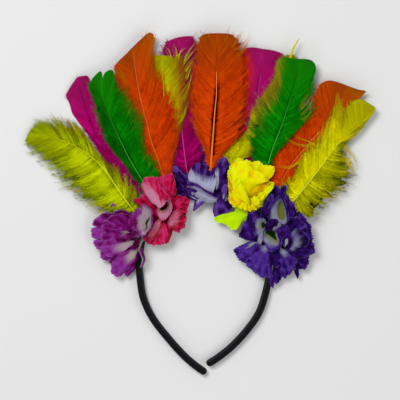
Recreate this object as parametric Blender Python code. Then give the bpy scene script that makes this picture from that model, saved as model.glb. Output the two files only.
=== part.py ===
import math

import bmesh
import bpy

# Feather headdress on a hair band, lying on its back: +X to the right, +Y towards the feather
# tips, +Z up from the surface. Tables are in millimetres, the scene is in metres.
MM = 0.001

BAND_WIDTH = 6.0
BAND_HEIGHT = 7.0
BAND_FLAT = 3.4
BAND_STEPS = 38
SEAT_GAP = 0.3
BAND_TOP = BAND_HEIGHT + SEAT_GAP

VANE_THICK = 1.0
SHAFT_HEIGHT = 1.8
SHAFT_BASE_WIDTH = 2.2
SHAFT_TIP_WIDTH = 1.1
LEVEL_STEP = 2.3
QUILL_STEPS = 3

PETAL_THICK = 1.0
PIN_RADIUS = 1.3
PIN_GAP = 0.35
CALYX_RADIUS = 4.6
CALYX_SIDES = 10

for old in list(bpy.data.objects):
    bpy.data.objects.remove(old, do_unlink=True)


def make_material(name, colour, roughness):
    material = bpy.data.materials.new(name)
    material.use_nodes = True
    shader = material.node_tree.nodes["Principled BSDF"]
    shader.inputs["Base Color"].default_value = (colour[0], colour[1], colour[2], 1.0)
    shader.inputs["Roughness"].default_value = roughness
    return material


def add_object(name, vertices, faces, material, smooth):
    mesh = bpy.data.meshes.new(name)
    mesh.from_pydata([(x * MM, y * MM, z * MM) for x, y, z in vertices], [], faces)
    work = bmesh.new()
    work.from_mesh(mesh)
    bmesh.ops.remove_doubles(work, verts=work.verts, dist=1e-7)
    bmesh.ops.recalc_face_normals(work, faces=work.faces)
    bmesh.ops.triangulate(work, faces=work.faces)
    work.to_mesh(mesh)
    work.free()
    for polygon in mesh.polygons:
        polygon.use_smooth = smooth
    mesh.materials.append(material)
    made = bpy.data.objects.new(name, mesh)
    bpy.context.scene.collection.objects.link(made)
    return made


def catmull(rows, place):
    """Smooth value of every column of rows at place, counted in rows from the first one."""
    index = min(int(place), len(rows) - 2)
    part = place - index
    before = rows[max(index - 1, 0)]
    here = rows[index]
    after = rows[index + 1]
    last = rows[min(index + 2, len(rows) - 1)]
    out = []
    for a, b, c, d in zip(before, here, after, last):
        linear = 2.0 * b
        first = (c - a) * part
        second = (2.0 * a - 5.0 * b + 4.0 * c - d) * part * part
        third = (3.0 * b - a - 3.0 * c + d) * part * part * part
        out.append(0.5 * (linear + first + second + third))
    return out


def smooth_step(low, high, value):
    t = min(max((value - low) / (high - low), 0.0), 1.0)
    return t * t * (3.0 - 2.0 * t)


# Band: one covered strip bent to a horseshoe, its two ends nearly meeting.
# columns: x, y of the centre line, from the left tip over the crown to the right tip
BAND_LINE = [
    (0.8, -146.0),
    (-8.0, -140.0),
    (-17.5, -132.0),
    (-27.0, -120.0),
    (-40.2, -103.3),
    (-49.2, -87.0),
    (-53.3, -70.5),
    (-54.1, -54.1),
    (-50.8, -34.0),
    (-41.5, -17.5),
    (-24.6, -5.0),
    (0.0, 0.0),
    (24.6, -4.6),
    (41.8, -18.0),
    (50.8, -36.5),
    (53.3, -58.2),
    (52.5, -70.0),
    (47.0, -95.1),
    (37.3, -111.5),
    (25.0, -125.0),
    (13.0, -134.0),
    (4.6, -139.0),
]


def build_band():
    centre = []
    for step in range(BAND_STEPS + 1):
        place = step * (len(BAND_LINE) - 1) / BAND_STEPS
        centre.append(catmull(BAND_LINE, place))
    half = BAND_WIDTH / 2.0
    flat = BAND_FLAT / 2.0
    section = [
        (-flat, 0.0),
        (flat, 0.0),
        (half * 0.85, 0.9),
        (half, BAND_HEIGHT / 2.0),
        (half * 0.85, BAND_HEIGHT - 0.9),
        (flat, BAND_HEIGHT),
        (-flat, BAND_HEIGHT),
        (-half * 0.85, BAND_HEIGHT - 0.9),
        (-half, BAND_HEIGHT / 2.0),
        (-half * 0.85, 0.9),
    ]
    vertices = []
    rings = []

    def ring(point, along, scale):
        side = (-along[1], along[0])
        start = len(vertices)
        for across, up in section:
            shift = across * scale
            height = BAND_HEIGHT / 2.0 + (up - BAND_HEIGHT / 2.0) * scale if scale < 1.0 else up
            vertices.append((point[0] + side[0] * shift, point[1] + side[1] * shift, height))
        rings.append(start)

    count = len(centre)
    for i in range(count):
        before = centre[max(i - 1, 0)]
        after = centre[min(i + 1, count - 1)]
        dx = after[0] - before[0]
        dy = after[1] - before[1]
        size = math.hypot(dx, dy)
        along = (dx / size, dy / size)
        if i == 0:
            for back, scale in ((2.3, 0.45), (1.4, 0.8)):
                ring((centre[0][0] - along[0] * back, centre[0][1] - along[1] * back), along, scale)
        ring(centre[i], along, 1.0)
        if i == count - 1:
            for ahead, scale in ((1.4, 0.8), (2.3, 0.45)):
                ring((centre[i][0] + along[0] * ahead, centre[i][1] + along[1] * ahead), along, scale)
    sides = len(section)
    faces = []
    for a, b in zip(rings, rings[1:]):
        for k in range(sides):
            n = (k + 1) % sides
            faces.append((a + k, a + n, b + n, b + k))
    faces.append([rings[0] + k for k in range(sides)])
    faces.append([rings[-1] + k for k in range(sides)])
    add_object("band", vertices, faces, make_material("band_cloth", (0.02, 0.02, 0.022), 0.5), True)


def bed_height(x, y):
    """Underside of the lowest feather: over the band at the crown, down on the surface further out."""
    out = math.hypot(x / 1.41, y + 37.7) - 37.7
    fall = 8.0 * (1.0 - smooth_step(14.0, 62.0, out))
    curl = 5.0 * smooth_step(82.0, 140.0, out)
    return fall + curl


def build_feather(name, colour, level, locks, cut, lift, quill, rows, tail=()):
    """A shaft with a row of barb locks on each side, all one closed body.

    rows: shaft x, y, left edge x, y, right edge x, y from the base to the tip
    quill: x, y, z of the hidden lower end; cut: depth of the clefts at the base and at the tip
    tail: x, y of a bare point past the vane
    """
    vertices = []
    faces = []

    def height(x, y, along):
        raised = lift * (1.0 - smooth_step(0.0, 0.22, along))
        return bed_height(x, y) + level * LEVEL_STEP + raised

    stations = []
    for step in range(locks + 1):
        place = step * (len(rows) - 1) / locks
        stations.append((step / locks, catmull(rows, place)))
    first = stations[0][1]
    base_z = height(first[0], first[1], 0.0)
    shaft = []
    for step in range(QUILL_STEPS):
        part = step / QUILL_STEPS
        x = quill[0] + (first[0] - quill[0]) * part
        y = quill[1] + (first[1] - quill[1]) * part
        z = quill[2] + (base_z - quill[2]) * part * part
        shaft.append((x, y, z, -1.0))
    for along, row in stations:
        shaft.append((row[0], row[1], height(row[0], row[1], along), along))
    for point in tail:
        shaft.append((point[0], point[1], height(point[0], point[1], 1.0), 2.0))

    rings = []
    for i, (x, y, z, along) in enumerate(shaft):
        before = shaft[max(i - 1, 0)]
        after = shaft[min(i + 1, len(shaft) - 1)]
        dx = after[0] - before[0]
        dy = after[1] - before[1]
        size = math.hypot(dx, dy)
        left = (-dy / size, dx / size)
        taper = min(max(along, 0.0), 1.0)
        half = (SHAFT_BASE_WIDTH + (SHAFT_TIP_WIDTH - SHAFT_BASE_WIDTH) * taper) / 2.0
        crest = SHAFT_HEIGHT - 0.5 * taper
        start = len(vertices)
        vertices.append((x + left[0] * half, y + left[1] * half, z))
        vertices.append((x + left[0] * half, y + left[1] * half, z + VANE_THICK))
        vertices.append((x, y, z + crest))
        vertices.append((x - left[0] * half, y - left[1] * half, z + VANE_THICK))
        vertices.append((x - left[0] * half, y - left[1] * half, z))
        rings.append(start)
    for a, b in zip(rings, rings[1:]):
        faces.append((a + 4, b + 4, b, a))
        faces.append((a + 1, b + 1, b + 2, a + 2))
        faces.append((a + 2, b + 2, b + 3, a + 3))
    faces.append([rings[0] + k for k in range(5)])
    faces.append([rings[-1] + k for k in range(5)])

    first_vane = QUILL_STEPS
    last_vane = QUILL_STEPS + locks
    for side, low, high in ((0, 0, 1), (1, 4, 3)):
        column = 2 + side * 2
        notches = []
        for step in range(locks + 1):
            ring = rings[first_vane + step]
            if step in (0, locks):
                notches.append((ring + low, ring + high))
                continue
            along, row = stations[step]
            depth = cut[0] + (cut[1] - cut[0]) * along
            depth *= 1.0 + 0.35 * math.sin(2.7 * step + 1.9 * side + level)
            x = row[0] + (row[column] - row[0]) * (1.0 - depth)
            y = row[1] + (row[column + 1] - row[1]) * (1.0 - depth)
            z = height(x, y, along)
            notches.append((len(vertices), len(vertices) + 1))
            vertices.append((x, y, z))
            vertices.append((x, y, z + VANE_THICK))
        for step in range(locks):
            a = rings[first_vane + step]
            b = rings[first_vane + step + 1]
            tips = []
            for part in (0.45, 0.85):
                place = (step + part) * (len(rows) - 1) / locks
                row = catmull(rows, place)
                x = row[column]
                y = row[column + 1]
                z = height(x, y, (step + part) / locks)
                tips.append((len(vertices), len(vertices) + 1))
                vertices.append((x, y, z))
                vertices.append((x, y, z + VANE_THICK))
            start = notches[step]
            end = notches[step + 1]
            walk = [start, tips[0], tips[1], end]
            for layer, root in ((0, low), (1, high)):
                loop = [a + root]
                for pair in walk:
                    if pair[layer] not in loop:
                        loop.append(pair[layer])
                if b + root not in loop:
                    loop.append(b + root)
                faces.append(loop)
            for p, q in zip(walk, walk[1:]):
                faces.append((p[0], q[0], q[1], p[1]))
    for i, (a, b) in enumerate(zip(rings, rings[1:])):
        if first_vane <= i < last_vane:
            continue
        faces.append((a, b, b + 1, a + 1))
        faces.append((a + 3, b + 3, b + 4, a + 4))
    add_object(name, vertices, faces, make_material(name + "_barbs", colour, 0.7), False)


YELLOW = (0.62, 0.60, 0.02)
MAGENTA = (0.55, 0.01, 0.33)
GREEN = (0.01, 0.32, 0.02)
ORANGE = (0.70, 0.17, 0.01)

# columns of every feather: shaft x, y, left edge x, y, right edge x, y, base to tip
FEATHERS = [
    ("feather_01_yellow", YELLOW, 1, 11, (0.2, 0.12), 0.0, (-46.5, -26.5, 7.3), [
        (-59.0, -13.1, -72.0, -14.8, -56.5, -6.4),
        (-67.1, -2.0, -97.0, -7.5, -61.0, 9.0),
        (-75.1, 9.3, -114.5, 7.0, -71.1, 22.7),
        (-83.5, 20.2, -125.0, 18.0, -81.8, 33.4),
        (-93.1, 30.0, -132.2, 26.4, -94.7, 46.6),
        (-104.3, 37.8, -138.3, 32.6, -109.3, 57.8),
        (-116.7, 44.0, -143.3, 37.2, -123.7, 61.1),
        (-130.0, 47.5, -148.2, 41.6, -137.2, 59.1),
        (-143.5, 50.0, -147.0, 46.4, -144.6, 52.5),
    ]),
    ("feather_02_magenta", MAGENTA, 0, 9, (0.16, 0.07), 0.0, (-42.0, -19.0, 7.3), [
        (-63.1, 17.2, -65.4, 16.7, -62.0, 20.2),
        (-71.6, 26.7, -76.5, 27.0, -70.0, 32.5),
        (-80.0, 36.2, -87.0, 37.5, -78.5, 44.3),
        (-88.3, 45.7, -97.4, 49.0, -84.1, 60.0),
        (-93.1, 57.4, -107.0, 62.0, -87.5, 72.3),
        (-97.4, 69.3, -112.7, 75.4, -91.0, 86.5),
        (-101.2, 81.4, -112.7, 87.7, -95.5, 95.7),
        (-105.0, 93.5, -107.5, 95.6, -102.0, 97.2),
    ]),
    ("feather_03_green", GREEN, 3, 10, (0.18, 0.08), 0.0, (-28.7, -6.8, 7.4), [
        (-48.4, 6.6, -53.7, 6.2, -41.6, 11.0),
        (-54.4, 16.3, -62.0, 16.4, -43.4, 26.9),
        (-60.4, 26.1, -72.3, 29.4, -52.0, 41.2),
        (-65.7, 36.3, -82.0, 40.8, -53.1, 60.5),
        (-70.7, 46.6, -85.9, 52.4, -59.1, 72.8),
        (-75.5, 57.1, -88.7, 64.3, -67.2, 79.0),
        (-79.2, 67.9, -92.0, 77.6, -73.0, 88.6),
        (-82.3, 78.9, -95.0, 90.2, -74.4, 100.2),
        (-84.5, 90.2, -88.0, 99.0, -79.8, 101.8),
    ]),
    ("feather_04_orange", ORANGE, 2, 11, (0.18, 0.06), 0.0, (-24.2, -4.6, 7.4), [
        (-35.3, 16.4, -38.3, 17.0, -30.3, 20.0),
        (-39.2, 28.9, -43.4, 30.5, -26.5, 43.0),
        (-43.3, 41.3, -51.9, 44.0, -22.4, 58.6),
        (-46.7, 53.9, -53.0, 57.1, -26.6, 73.0),
        (-50.0, 66.6, -58.7, 72.2, -33.7, 88.3),
        (-53.1, 79.3, -68.0, 88.3, -38.5, 101.7),
        (-55.7, 92.1, -74.5, 104.1, -43.0, 116.0),
        (-57.5, 105.1, -68.8, 111.0, -43.0, 128.0),
        (-58.6, 117.1, -62.0, 117.5, -48.8, 129.8),
    ]),
    ("feather_05_yellow", YELLOW, 1, 9, (0.15, 0.08), 0.0, (-20.3, -3.6, 7.4), [
        (-30.3, 19.7, -32.2, 21.1, -28.8, 21.9),
        (-31.4, 35.0, -37.5, 38.0, -25.5, 42.7),
        (-32.2, 50.3, -39.4, 55.8, -17.5, 61.8),
        (-32.8, 65.6, -41.5, 74.3, -13.2, 84.8),
        (-32.8, 80.9, -42.6, 93.5, -12.2, 104.3),
        (-32.8, 96.2, -42.6, 108.9, -17.3, 111.6),
        (-32.8, 111.5, -37.3, 114.6, -27.6, 114.1),
    ]),
    ("feather_06_magenta", MAGENTA, 0, 10, (0.18, 0.08), 1.5, (-6.0, 9.0, 9.4), [
        (-14.8, 18.0, -18.6, 20.4, -11.4, 20.8),
        (-16.8, 33.2, -29.1, 28.7, -3.8, 34.8),
        (-18.4, 48.4, -26.4, 49.6, -3.0, 47.9),
        (-19.2, 63.6, -27.4, 70.7, -7.2, 70.0),
        (-19.7, 78.9, -31.6, 91.4, -7.3, 91.1),
        (-20.2, 94.1, -36.0, 114.2, -6.6, 110.0),
        (-20.8, 109.4, -32.6, 124.9, -7.6, 125.4),
        (-21.3, 124.6, -25.8, 128.7, -17.0, 129.3),
    ]),
    ("feather_07_orange", ORANGE, 2, 12, (0.15, 0.05), 0.4, (1.6, 12.8, 9.3), [
        (4.9, 21.3, 2.3, 22.9, 9.0, 24.0),
        (5.7, 34.8, -1.1, 39.7, 20.6, 38.3),
        (6.6, 48.2, -10.7, 58.3, 31.9, 57.7),
        (7.7, 61.6, -12.2, 78.9, 34.4, 77.7),
        (8.8, 75.0, -11.0, 97.6, 33.8, 96.1),
        (9.2, 88.4, -9.2, 111.2, 32.8, 113.0),
        (9.4, 101.8, -6.8, 122.8, 31.0, 126.2),
        (9.8, 115.3, -2.3, 131.2, 23.0, 130.5),
        (9.8, 128.7, 6.2, 132.4, 13.4, 132.2),
    ]),
    ("feather_08_magenta", MAGENTA, 0, 10, (0.16, 0.07), 0.0, (25.6, -4.6, 7.4), [
        (32.8, 24.6, 28.7, 27.2, 37.3, 26.5),
        (34.5, 37.9, 26.4, 45.4, 42.4, 40.0),
        (36.8, 51.1, 28.4, 61.1, 45.7, 55.9),
        (39.8, 64.2, 29.2, 79.4, 50.5, 70.7),
        (42.6, 77.3, 29.4, 98.9, 57.2, 88.6),
        (44.9, 90.5, 30.2, 113.8, 59.5, 104.1),
        (46.3, 103.9, 36.1, 119.8, 60.7, 114.2),
        (47.1, 117.3, 43.1, 120.2, 52.4, 119.0),
    ]),
    ("feather_09_yellow", YELLOW, 1, 10, (0.16, 0.08), 0.0, (20.8, -3.4, 7.4), [
        (19.7, 23.8, 14.9, 28.7, 24.0, 22.8),
        (28.5, 35.8, 20.0, 42.1, 40.3, 34.6),
        (37.9, 47.3, 34.3, 53.2, 53.1, 47.2),
        (46.5, 59.5, 40.2, 73.0, 62.8, 62.1),
        (54.1, 72.3, 48.6, 84.0, 71.5, 76.1),
        (60.6, 85.6, 57.3, 95.5, 76.1, 92.4),
        (65.5, 99.7, 60.7, 109.4, 76.4, 105.9),
        (69.8, 111.0, 66.8, 113.6, 72.6, 113.2),
    ], [(72.2, 118.9), (77.1, 127.1)]),
    ("feather_10_green", GREEN, 3, 11, (0.18, 0.08), 0.0, (39.0, -15.2, 7.4), [
        (50.8, 22.1, 46.0, 26.0, 54.3, 22.8),
        (54.8, 34.4, 40.7, 48.9, 58.4, 35.1),
        (59.1, 46.6, 41.0, 66.7, 72.0, 50.0),
        (63.8, 58.6, 45.2, 78.6, 85.4, 63.3),
        (67.9, 70.8, 55.9, 90.0, 88.6, 81.9),
        (71.8, 83.1, 60.2, 107.9, 90.0, 97.5),
        (75.0, 95.6, 66.7, 111.5, 90.6, 106.0),
        (77.5, 108.2, 74.8, 111.2, 81.3, 110.7),
    ]),
    ("feather_11_orange", ORANGE, 2, 10, (0.18, 0.08), 0.0, (43.0, -20.0, 7.4), [
        (63.1, 11.5, 55.2, 12.2, 72.4, 8.7),
        (70.1, 22.5, 57.2, 32.6, 77.6, 20.3),
        (78.0, 32.8, 68.8, 48.2, 82.8, 31.8),
        (86.4, 42.8, 80.2, 60.1, 90.3, 43.0),
        (94.8, 52.8, 89.4, 80.0, 99.1, 53.4),
        (102.9, 63.0, 96.2, 92.3, 107.9, 65.4),
        (109.7, 74.1, 106.8, 92.7, 122.6, 78.0),
        (116.4, 85.3, 120.8, 88.4, 129.5, 83.9),
    ]),
    ("feather_12_yellow", YELLOW, 3, 11, (0.2, 0.08), 0.0, (46.6, -26.2, 7.4), [
        (73.0, -4.9, 67.4, 4.1, 86.4, -16.9),
        (80.7, 4.5, 76.7, 16.7, 102.3, -9.2),
        (88.4, 13.9, 81.9, 33.3, 116.8, 4.0),
        (95.9, 23.4, 90.8, 43.6, 121.7, 17.1),
        (103.2, 33.2, 98.7, 54.0, 117.2, 31.9),
        (110.8, 42.6, 106.9, 71.0, 117.3, 42.5),
        (119.7, 50.9, 118.9, 76.4, 126.9, 51.0),
        (128.3, 59.5, 130.6, 76.9, 134.9, 60.1),
        (135.9, 67.6, 136.8, 72.6, 138.9, 67.9),
    ]),
]


def build_hub(name, x, y, calyx_top, pin_top, colour):
    """Calyx seated on the band with the pin that the petal layers are threaded on."""
    profile = [
        (CALYX_RADIUS * 0.9, BAND_TOP),
        (CALYX_RADIUS, BAND_TOP + 0.4),
        (CALYX_RADIUS * 0.56, calyx_top),
        (PIN_RADIUS, calyx_top),
        (PIN_RADIUS, pin_top - 1.6),
        (PIN_RADIUS * 1.5, pin_top - 1.0),
        (PIN_RADIUS, pin_top),
    ]
    vertices = []
    faces = []
    for radius, z in profile:
        for k in range(CALYX_SIDES):
            angle = 2.0 * math.pi * k / CALYX_SIDES
            vertices.append((x + radius * math.cos(angle), y + radius * math.sin(angle), z))
    for i in range(len(profile) - 1):
        for k in range(CALYX_SIDES):
            n = (k + 1) % CALYX_SIDES
            a = i * CALYX_SIDES
            b = a + CALYX_SIDES
            faces.append((a + k, a + n, b + n, b + k))
    faces.append(list(range(CALYX_SIDES)))
    top = (len(profile) - 1) * CALYX_SIDES
    faces.append([top + k for k in range(CALYX_SIDES)])
    add_object(name, vertices, faces, make_material(name + "_plastic", colour, 0.5), True)


def build_layer(name, x, y, outline, share, start_z, rim_rise, power, sides, folds, fold_height, colour):
    """One die-cut layer of petals: a ruffled cup of cloth round the pin.

    outline: angle in degrees, radius, height of the rim; share: how much of the radius is used
    """
    hole = PIN_RADIUS + PIN_GAP
    rings = (0.0, 0.3, 0.68, 1.0) if sides > 20 else (0.0, 0.45, 1.0)
    lower = []
    upper = []
    vertices = []
    faces = []
    count = len(outline)
    for ring in rings:
        low_row = []
        high_row = []
        for k in range(sides):
            turn = 360.0 * k / sides
            place = turn / 360.0 * count
            here = outline[int(place) % count]
            after = outline[(int(place) + 1) % count]
            part = place - int(place)
            radius = (here[1] + (after[1] - here[1]) * part) * share
            rim = here[2] + (after[2] - here[2]) * part + rim_rise
            radius = max(radius - 0.9, hole + 3.0)
            if ring == 1.0 and k % 3 == 0:
                radius -= min(0.12 * radius, 2.0)
            reach = hole + (radius - hole) * ring
            z = start_z + (rim - start_z) * ring ** power
            z += fold_height * ring * ring * math.sin(math.radians(turn * folds))
            angle = math.radians(turn)
            low_row.append(len(vertices))
            vertices.append((x + reach * math.cos(angle), y + reach * math.sin(angle), z))
            high_row.append(len(vertices))
            vertices.append((x + reach * math.cos(angle), y + reach * math.sin(angle), z + PETAL_THICK))
        lower.append(low_row)
        upper.append(high_row)
    for rows in (lower, upper):
        for a, b in zip(rows, rows[1:]):
            for k in range(sides):
                n = (k + 1) % sides
                faces.append((a[k], a[n], b[n], b[k]))
    for row in (0, -1):
        for k in range(sides):
            n = (k + 1) % sides
            faces.append((lower[row][k], lower[row][n], upper[row][n], upper[row][k]))
    add_object(name, vertices, faces, make_material(name + "_cloth", colour, 0.75), False)


# columns of every outline: angle in degrees, radius, height of the rim of the lowest layer
OUTLINE_01 = [
    (0, 7.0, 15.5), (20, 8.5, 16.0), (40, 14.1, 17.0), (60, 22.6, 17.5), (80, 27.6, 17.5), (100, 22.7, 17.5),
    (120, 27.2, 17.0), (140, 34.0, 15.0), (160, 38.0, 12.0), (180, 36.6, 10.0), (200, 33.1, 8.5),
    (220, 31.7, 8.0), (240, 33.3, 8.0), (260, 24.4, 9.0), (280, 20.0, 10.0), (300, 12.6, 12.5),
    (320, 7.2, 14.0), (340, 6.5, 15.0),
]
OUTLINE_02 = [
    (0, 20.7, 16.0), (20, 21.1, 16.5), (40, 18.2, 17.5), (60, 21.1, 18.0), (80, 26.5, 18.0), (100, 26.4, 18.0),
    (120, 25.6, 18.0), (140, 21.4, 18.0), (160, 22.0, 17.5), (180, 11.1, 17.0), (200, 8.9, 16.5),
    (220, 10.7, 15.5), (240, 20.0, 13.0), (260, 29.4, 11.5), (280, 27.3, 11.5), (300, 23.4, 12.5),
    (320, 21.4, 14.0), (340, 19.7, 15.0),
]
OUTLINE_03 = [
    (0, 18.6, 8.8), (20, 19.6, 7.2), (40, 22.0, 5.4), (60, 27.3, 4.0), (80, 29.6, 3.6), (100, 30.0, 3.6),
    (120, 27.0, 3.8), (140, 30.0, 5.2), (160, 25.8, 7.2), (180, 21.0, 8.8), (200, 15.3, 8.8),
    (220, 12.9, 8.2), (240, 17.6, 7.0), (260, 12.1, 7.4), (280, 12.0, 7.4), (300, 23.0, 6.0),
    (320, 25.5, 7.2), (340, 20.4, 8.6),
]
OUTLINE_04 = [
    (0, 17.2, 16.5), (20, 22.2, 18.0), (40, 25.4, 18.0), (60, 32.0, 18.0), (80, 33.2, 18.0), (100, 32.5, 18.0),
    (120, 23.6, 18.0), (140, 15.9, 17.0), (160, 12.6, 16.0), (180, 11.3, 15.5), (200, 10.4, 15.0),
    (220, 8.8, 14.5), (240, 7.8, 14.0), (260, 7.8, 14.0), (280, 8.9, 14.0), (300, 10.5, 14.0),
    (320, 11.9, 14.5), (340, 14.1, 15.5),
]
OUTLINE_05 = [
    (0, 35.1, 11.0), (20, 33.4, 14.0), (40, 32.0, 17.5), (60, 33.6, 18.5), (80, 37.3, 18.5), (100, 25.6, 18.0),
    (120, 22.7, 17.5), (140, 22.0, 16.5), (160, 21.0, 15.0), (180, 21.0, 13.0), (200, 25.6, 11.5),
    (220, 29.6, 10.5), (240, 30.4, 9.5), (260, 33.2, 9.0), (280, 36.8, 8.5), (300, 36.8, 8.0),
    (320, 38.7, 8.0), (340, 38.4, 9.0),
]

CALYX_GREEN = (0.05, 0.22, 0.03)
VIOLET = (0.14, 0.05, 0.38)
PALE_VIOLET = (0.62, 0.55, 0.80)
RED_PINK = (0.60, 0.03, 0.10)
PALE_PINK = (0.80, 0.42, 0.50)
ORCHID = (0.42, 0.05, 0.42)
PALE_ORCHID = (0.75, 0.62, 0.78)
LEMON = (0.80, 0.68, 0.01)
LIME = (0.50, 0.62, 0.01)

# columns: name, x, y, calyx top, pin top, outline, colours of the outer, middle and inner layer
FLOWERS = [
    ("flower_1_orchid", -55.8, -37.7, 14.0, 24.0, OUTLINE_01, (ORCHID, PALE_ORCHID, PALE_ORCHID)),
    ("flower_2_red_pink", -34.4, -11.5, 14.0, 24.0, OUTLINE_02, (RED_PINK, PALE_PINK, PALE_PINK)),
    ("flower_3_violet", 0.0, 3.3, 8.3, 24.0, OUTLINE_03, (VIOLET, PALE_VIOLET, PALE_VIOLET)),
    ("flower_4_yellow", 32.0, -5.7, 14.0, 24.0, OUTLINE_04, (LEMON, LEMON, LEMON)),
    ("flower_5_violet", 51.7, -34.4, 14.0, 24.0, OUTLINE_05, (VIOLET, PALE_VIOLET, VIOLET)),
]

# columns: layer, share of the radius, start above the calyx, rise of the rim, power, sides, folds, fold height
LAYERS = [
    ("outer", 1.0, 0.3, 0.0, 1.6, 30, 9, 0.8),
    ("middle", 0.72, 1.7, 9.0, 1.2, 24, 7, 1.3),
    ("inner", 0.42, 3.1, 16.0, 1.3, 15, 5, 1.0),
]
HIGH_START = {"flower_3_violet": 4.9}


def build_flower(name, x, y, calyx_top, pin_top, outline, colours):
    build_hub(name + "_hub", x, y, calyx_top, pin_top, CALYX_GREEN)
    for colour, (layer, share, rise, rim_rise, power, sides, folds, fold_height) in zip(colours, LAYERS):
        extra = HIGH_START.get(name, 0.0) if layer != "outer" else 0.0
        build_layer(
            name + "_" + layer,
            x,
            y,
            outline,
            share,
            calyx_top + rise + extra,
            rim_rise + extra,
            power,
            sides,
            folds,
            fold_height,
            colour,
        )


# columns: x, y of the upper edge, x, y of the lower edge, height, from the hub to the tip
LIME_PETAL = [
    (31.0, -11.2, 34.0, -11.8, 10.6),
    (25.5, -11.5, 34.5, -18.0, 10.2),
    (19.0, -14.8, 29.5, -25.5, 9.0),
    (13.0, -17.0, 23.0, -29.0, 8.0),
    (8.0, -19.5, 14.5, -26.0, 7.2),
]


def build_lime_petal():
    vertices = []
    faces = []
    for x1, y1, x2, y2, z in LIME_PETAL:
        for part in (0.0, 0.5, 1.0):
            x = x1 + (x2 - x1) * part
            y = y1 + (y2 - y1) * part
            bow = 1.2 * math.sin(math.pi * part)
            vertices.append((x, y, z + bow))
            vertices.append((x, y, z + bow + PETAL_THICK))
    rows = len(LIME_PETAL)
    for i in range(rows - 1):
        a = i * 6
        b = a + 6
        for low, high in ((0, 2), (2, 4)):
            faces.append((a + low, a + high, b + high, b + low))
            faces.append((a + low + 1, a + high + 1, b + high + 1, b + low + 1))
        faces.append((a, a + 1, b + 1, b))
        faces.append((a + 4, a + 5, b + 5, b + 4))
    for a in (0, (rows - 1) * 6):
        faces.append((a, a + 2, a + 3, a + 1))
        faces.append((a + 2, a + 4, a + 5, a + 3))
    add_object("lime_petal", vertices, faces, make_material("lime_cloth", LIME, 0.75), False)


build_band()
for row in FEATHERS:
    build_feather(*row)
for row in FLOWERS:
    build_flower(*row)
build_lime_petal()
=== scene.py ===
import math

import bpy
import numpy as np
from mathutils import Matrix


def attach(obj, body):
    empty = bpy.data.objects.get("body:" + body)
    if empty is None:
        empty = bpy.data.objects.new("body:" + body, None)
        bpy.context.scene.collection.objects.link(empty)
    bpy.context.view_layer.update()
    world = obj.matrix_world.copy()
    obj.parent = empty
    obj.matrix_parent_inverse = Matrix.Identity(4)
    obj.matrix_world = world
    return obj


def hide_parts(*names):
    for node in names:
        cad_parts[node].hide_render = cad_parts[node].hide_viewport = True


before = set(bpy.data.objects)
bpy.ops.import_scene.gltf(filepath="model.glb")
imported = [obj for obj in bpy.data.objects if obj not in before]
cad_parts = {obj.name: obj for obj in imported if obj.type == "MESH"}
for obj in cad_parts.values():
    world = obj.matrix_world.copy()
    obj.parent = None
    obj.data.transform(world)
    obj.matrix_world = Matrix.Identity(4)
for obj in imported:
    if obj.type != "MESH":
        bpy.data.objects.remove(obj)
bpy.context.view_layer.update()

bpy.ops.object.select_all(action="DESELECT")


# Hair band. One strip of springy plastic bent to a horseshoe and covered in thin black satin
# cloth. The cloth is wrapped round and glued, and its edge runs as a step along the upper side.
MM = 0.001


class Value:
    """One output socket of a shader node; + - and * add the Math nodes they stand for."""

    def __init__(self, paint, socket):
        self.paint = paint
        self.socket = socket

    def math(self, operation, first, second):
        return self.paint.node("ShaderNodeMath", {"operation": operation}, {0: first, 1: second})

    def __add__(self, other):
        return self.math("ADD", self, other)

    def __sub__(self, other):
        return self.math("SUBTRACT", self, other)

    def __rsub__(self, other):
        return self.math("SUBTRACT", other, self)

    def __mul__(self, other):
        return self.math("MULTIPLY", self, other)

    __radd__ = __add__
    __rmul__ = __mul__


class Paint:
    """A material with a Principled shader."""

    def __init__(self, name, **constants):
        self.material = bpy.data.materials.new(name)
        self.material.use_nodes = True
        self.tree = self.material.node_tree
        self.shader = self.tree.nodes["Principled BSDF"]
        self.set(**constants)

    def set(self, **values):
        for socket, value in values.items():
            self.feed(self.shader.inputs[socket.replace("_", " ")], value)
        return self.material

    def feed(self, socket, value):
        if isinstance(value, Value):
            self.tree.links.new(value.socket, socket)
        elif isinstance(value, tuple) and len(value) == 3 and len(socket.default_value) == 4:
            socket.default_value = (*value, 1.0)
        else:
            socket.default_value = value

    def node(self, kind, settings=None, inputs=None, output=0):
        made = self.tree.nodes.new(kind)
        for name, value in (settings or {}).items():
            if name == "stops":
                elements = made.color_ramp.elements
                while len(elements) < len(value):
                    elements.new(0.5)
                for element, (place, colour) in zip(elements, value):
                    element.position = place
                    element.color = (*colour, 1.0)
            else:
                setattr(made, name, value)
        for name, value in (inputs or {}).items():
            self.feed(made.inputs[name], value)
        return Value(self, made.outputs[output])

    def attribute(self, name):
        return self.node("ShaderNodeAttribute", {"attribute_name": name}, output="Fac")

    def noise(self, scale, detail=3.0, vector=None):
        vector = vector or self.node("ShaderNodeTexCoord", output="Object")
        inputs = {"Scale": scale, "Detail": detail, "Vector": vector}
        return self.node("ShaderNodeTexNoise", {}, inputs)

    def ramp(self, value, stops):
        return self.node("ShaderNodeValToRGB", {"stops": stops}, {"Fac": value})

    def mix(self, share, first, second):
        return self.node("ShaderNodeMix", {"data_type": "RGBA"}, {0: share, 6: first, 7: second}, output=2)

    def limit(self, value, low, high):
        inputs = {"Value": value, "From Min": low, "From Max": high}
        return self.node("ShaderNodeMapRange", {"clamp": True}, inputs)

    def bump(self, height, strength, distance):
        inputs = {"Height": height, "Strength": strength, "Distance": distance}
        self.feed(self.shader.inputs["Normal"], self.node("ShaderNodeBump", {}, inputs))


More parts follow.
